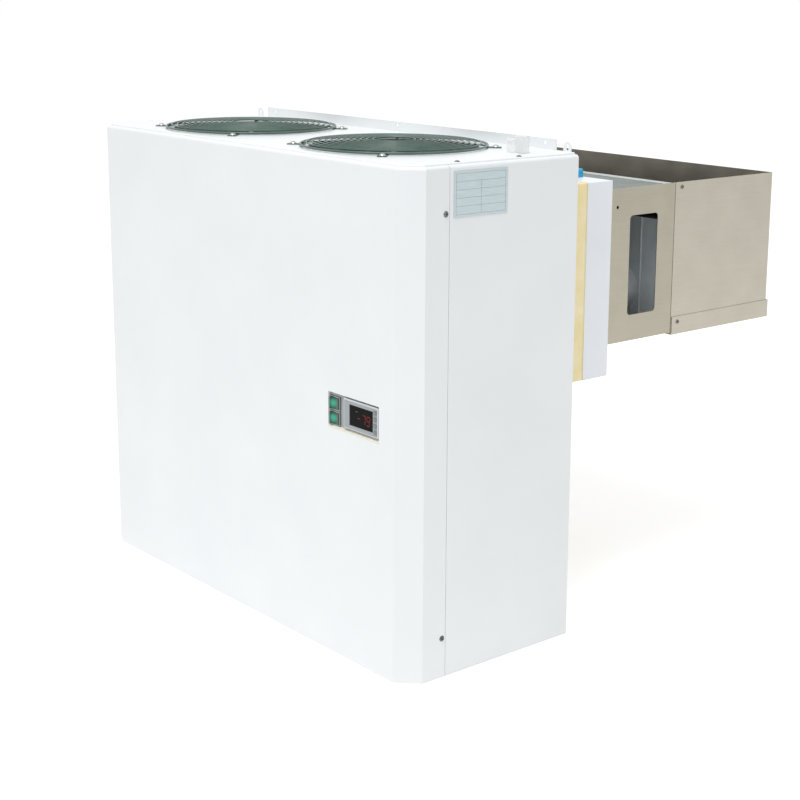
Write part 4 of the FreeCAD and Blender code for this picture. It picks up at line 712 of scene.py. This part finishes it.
# The lid is the same stainless with a matt grey-green film left on from the mill. The top of its
# turned-up rear edge is painted white and not metallic: a painted highlight.
filmed, tree, shader, place = finish_of("filmed_stainless_lid", "#74807C", 0.46, metal=0.7)
tint(tree, shader, patches(tree, place, 45.0, 0.0, 1.0), "#6C7874", "#7C8783")
tree.links.new(patches(tree, place, 25.0, 0.42, 0.52), shader.inputs["Roughness"])
lid_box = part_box("evap_fan_cover")
axes = add(tree, "ShaderNodeSeparateXYZ", {"Vector": place})
behind = add(tree, "ShaderNodeMath", {0: axes.outputs["Y"]}, operation="GREATER_THAN")
behind.inputs[1].default_value = lid_box[1][1] - 0.0013
raised = add(tree, "ShaderNodeMath", {0: axes.outputs["Z"]}, operation="GREATER_THAN")
raised.inputs[1].default_value = lid_box[1][2] - 0.0029
edge = add(tree, "ShaderNodeMath", {0: behind.outputs["Value"], 1: raised.outputs["Value"]},
           operation="MULTIPLY")
film = shader.inputs["Base Color"].links[0].from_socket
# Where the rear top strip of the upstand is masked, the colour is white: a painted highlight.
film_and_highlight = add(tree, "ShaderNodeMix", {0: edge.outputs["Value"], 6: film}, data_type="RGBA")
film_and_highlight.inputs[7].default_value = linear("#FBFCFC")
tree.links.new(film_and_highlight.outputs[2], shader.inputs["Base Color"])
metal_off_highlight = add(tree, "ShaderNodeMapRange", {"Value": edge.outputs["Value"]}, To_Min=0.7, To_Max=0.0)
tree.links.new(metal_off_highlight.outputs["Result"], shader.inputs["Metallic"])
dress(filmed, "evap_fan_cover")

# Galvanised sheet under a thin blue-grey stoved paint, on the shroud.
stoved, tree, shader, place = finish_of("stoved_blue_grey", "#DDE7ED", 0.42)
tint(tree, shader, patches(tree, place, 35.0, 0.0, 1.0), "#D5E0E7", "#E4EDF2")
dress(stoved, "evap_shroud")

# Sheathed heater rod: nickel alloy that has gone blue-brown with heat.
sheath, tree, shader, place = finish_of("heat_blued_sheath", "#6E6863", 0.4, metal=1.0)
tint(tree, shader, patches(tree, place, 30.0, 0.0, 1.0), "#5A5560", "#857A6A")
dress(sheath, "defrost_heater")

points, faces = fin_stack("evap_fins", 173, 6, 0.0008)
fins = new_piece("evaporator_fin_pack", points, faces, foil, "unit",
                 smooth=False)
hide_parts("evap_fins")

room_blade = blade(0.0285, 0.0815, 0.036, 0.052, 33.0, 22.0, 0.30, 0.003, 0.002)
for side, body in ((-1, "left_evaporator_fan"), (1, "right_evaporator_fan")):
    points, faces = fan_wheel(0.030, 0.020, 5, room_blade)
    points = points @ facing((0, 1, 0)) + np.array([side * 0.155, 0.249, 0.528])
    wheel = new_piece(body + "_wheel", points, faces, nylon, body)
    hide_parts("evap_impeller_" + body.split("_")[0])


# The room: a plain white floor with no end in view, an even white surround and one soft lamp.
# The floor adds a glow of its own where it is seen, so that only the part's shadow stays on it.

white, tree, shader, place = finish_of("white_floor", "#FFFFFF", 0.9)
shader.inputs["Specular IOR Level"].default_value = 0.0


def background_rays(tree):
    """1 for a ray that the camera, a gloss or a clear part sends out, and 0 for the rest."""
    ray = add(tree, "ShaderNodeLightPath")
    seen = add(tree, "ShaderNodeMath", {0: ray.outputs["Is Camera Ray"],
                                        1: ray.outputs["Is Glossy Ray"]}, operation="MAXIMUM")
    return add(tree, "ShaderNodeMath", {0: seen.outputs["Value"],
                                        1: ray.outputs["Is Transmission Ray"]},
               operation="MAXIMUM").outputs["Value"]


level = add(tree, "ShaderNodeMath", {0: background_rays(tree)}, operation="MULTIPLY")
level.inputs[1].default_value = 0.45
glow = add(tree, "ShaderNodeEmission", {"Strength": level.outputs["Value"]})
glow.inputs["Color"].default_value = (1, 1, 1, 1)
lit_floor = add(tree, "ShaderNodeAddShader", {0: shader.outputs["BSDF"],
                                              1: glow.outputs["Emission"]})
tree.links.new(lit_floor.outputs["Shader"], tree.nodes["Material Output"].inputs["Surface"])
reach = np.linspace(-40.0, 40.0, 9)
points = np.array([[x, y, -0.0006] for y in reach for x in reach])
mesh = bpy.data.meshes.new("floor")
mesh.from_pydata(points.tolist(), [], grid_faces(9, 9).tolist())
mesh.materials.append(white)
floor = bpy.data.objects.new("floor", mesh)
bpy.context.collection.objects.link(floor)

world = bpy.data.worlds.new("white_room")
bpy.context.scene.world = world
world.use_nodes = True
tree = world.node_tree
tree.nodes.clear()
level = add(tree, "ShaderNodeMapRange", {"Value": background_rays(tree)}, To_Min=0.59, To_Max=1.0)
glow = add(tree, "ShaderNodeBackground", {"Strength": level.outputs["Result"]})
glow.inputs["Color"].default_value = (1, 1, 1, 1)
add(tree, "ShaderNodeOutputWorld", {"Surface": glow.outputs["Background"]})


def soft_lamp(name, place, target, size, watts):
    """A square area lamp at a place, turned to face its target."""
    lamp = bpy.data.lights.new(name, "AREA")
    lamp.shape = "SQUARE"
    lamp.size = size
    lamp.energy = watts
    holder = bpy.data.objects.new(name, lamp)
    holder.location = place
    way = np.array(target, float) - np.array(place, float)
    holder.rotation_euler = (math.acos(-way[2] / np.linalg.norm(way)), 0,
                             math.atan2(way[0], -way[1]) + math.pi)
    bpy.context.collection.objects.link(holder)


soft_lamp("key", (1.0, -1.7, 4.6), (0.0, -0.1, 0.4), 2.4, 122)

# Camera at the photograph's place: in front and to the right, a little above the top. Its focal
# length and shifts are in pixels of a picture 800 wide.
picture = 800.0
focal, right_shift, up_shift = 1600.6, -52.3, -69.7
camera = bpy.data.cameras.new("camera")
camera.sensor_width = 36.0
camera.lens = focal * camera.sensor_width / picture
camera.shift_x, camera.shift_y = right_shift / picture, up_shift / picture
camera.clip_end = 50.0
eye = bpy.data.objects.new("camera", camera)
bpy.context.collection.objects.link(eye)
eye.location = (2.0612, -1.6667, 0.9822)
yaw, pitch, roll = math.radians(49.007), math.radians(12.165), math.radians(0.631)
ahead = np.array([-math.sin(yaw) * math.cos(pitch), math.cos(yaw) * math.cos(pitch),
                  -math.sin(pitch)])
level_right = np.array([math.cos(yaw), math.sin(yaw), 0.0])
level_up = np.cross(level_right, ahead)
right = math.cos(roll) * level_right + math.sin(roll) * level_up
up = -math.sin(roll) * level_right + math.cos(roll) * level_up
turn = np.eye(4)
turn[:3, 0], turn[:3, 1], turn[:3, 2] = right, up, -ahead
turn[:3, 3] = eye.location
eye.matrix_world = turn.T.tolist()
bpy.context.scene.camera = eye
bpy.context.scene.view_settings.view_transform = "Standard"
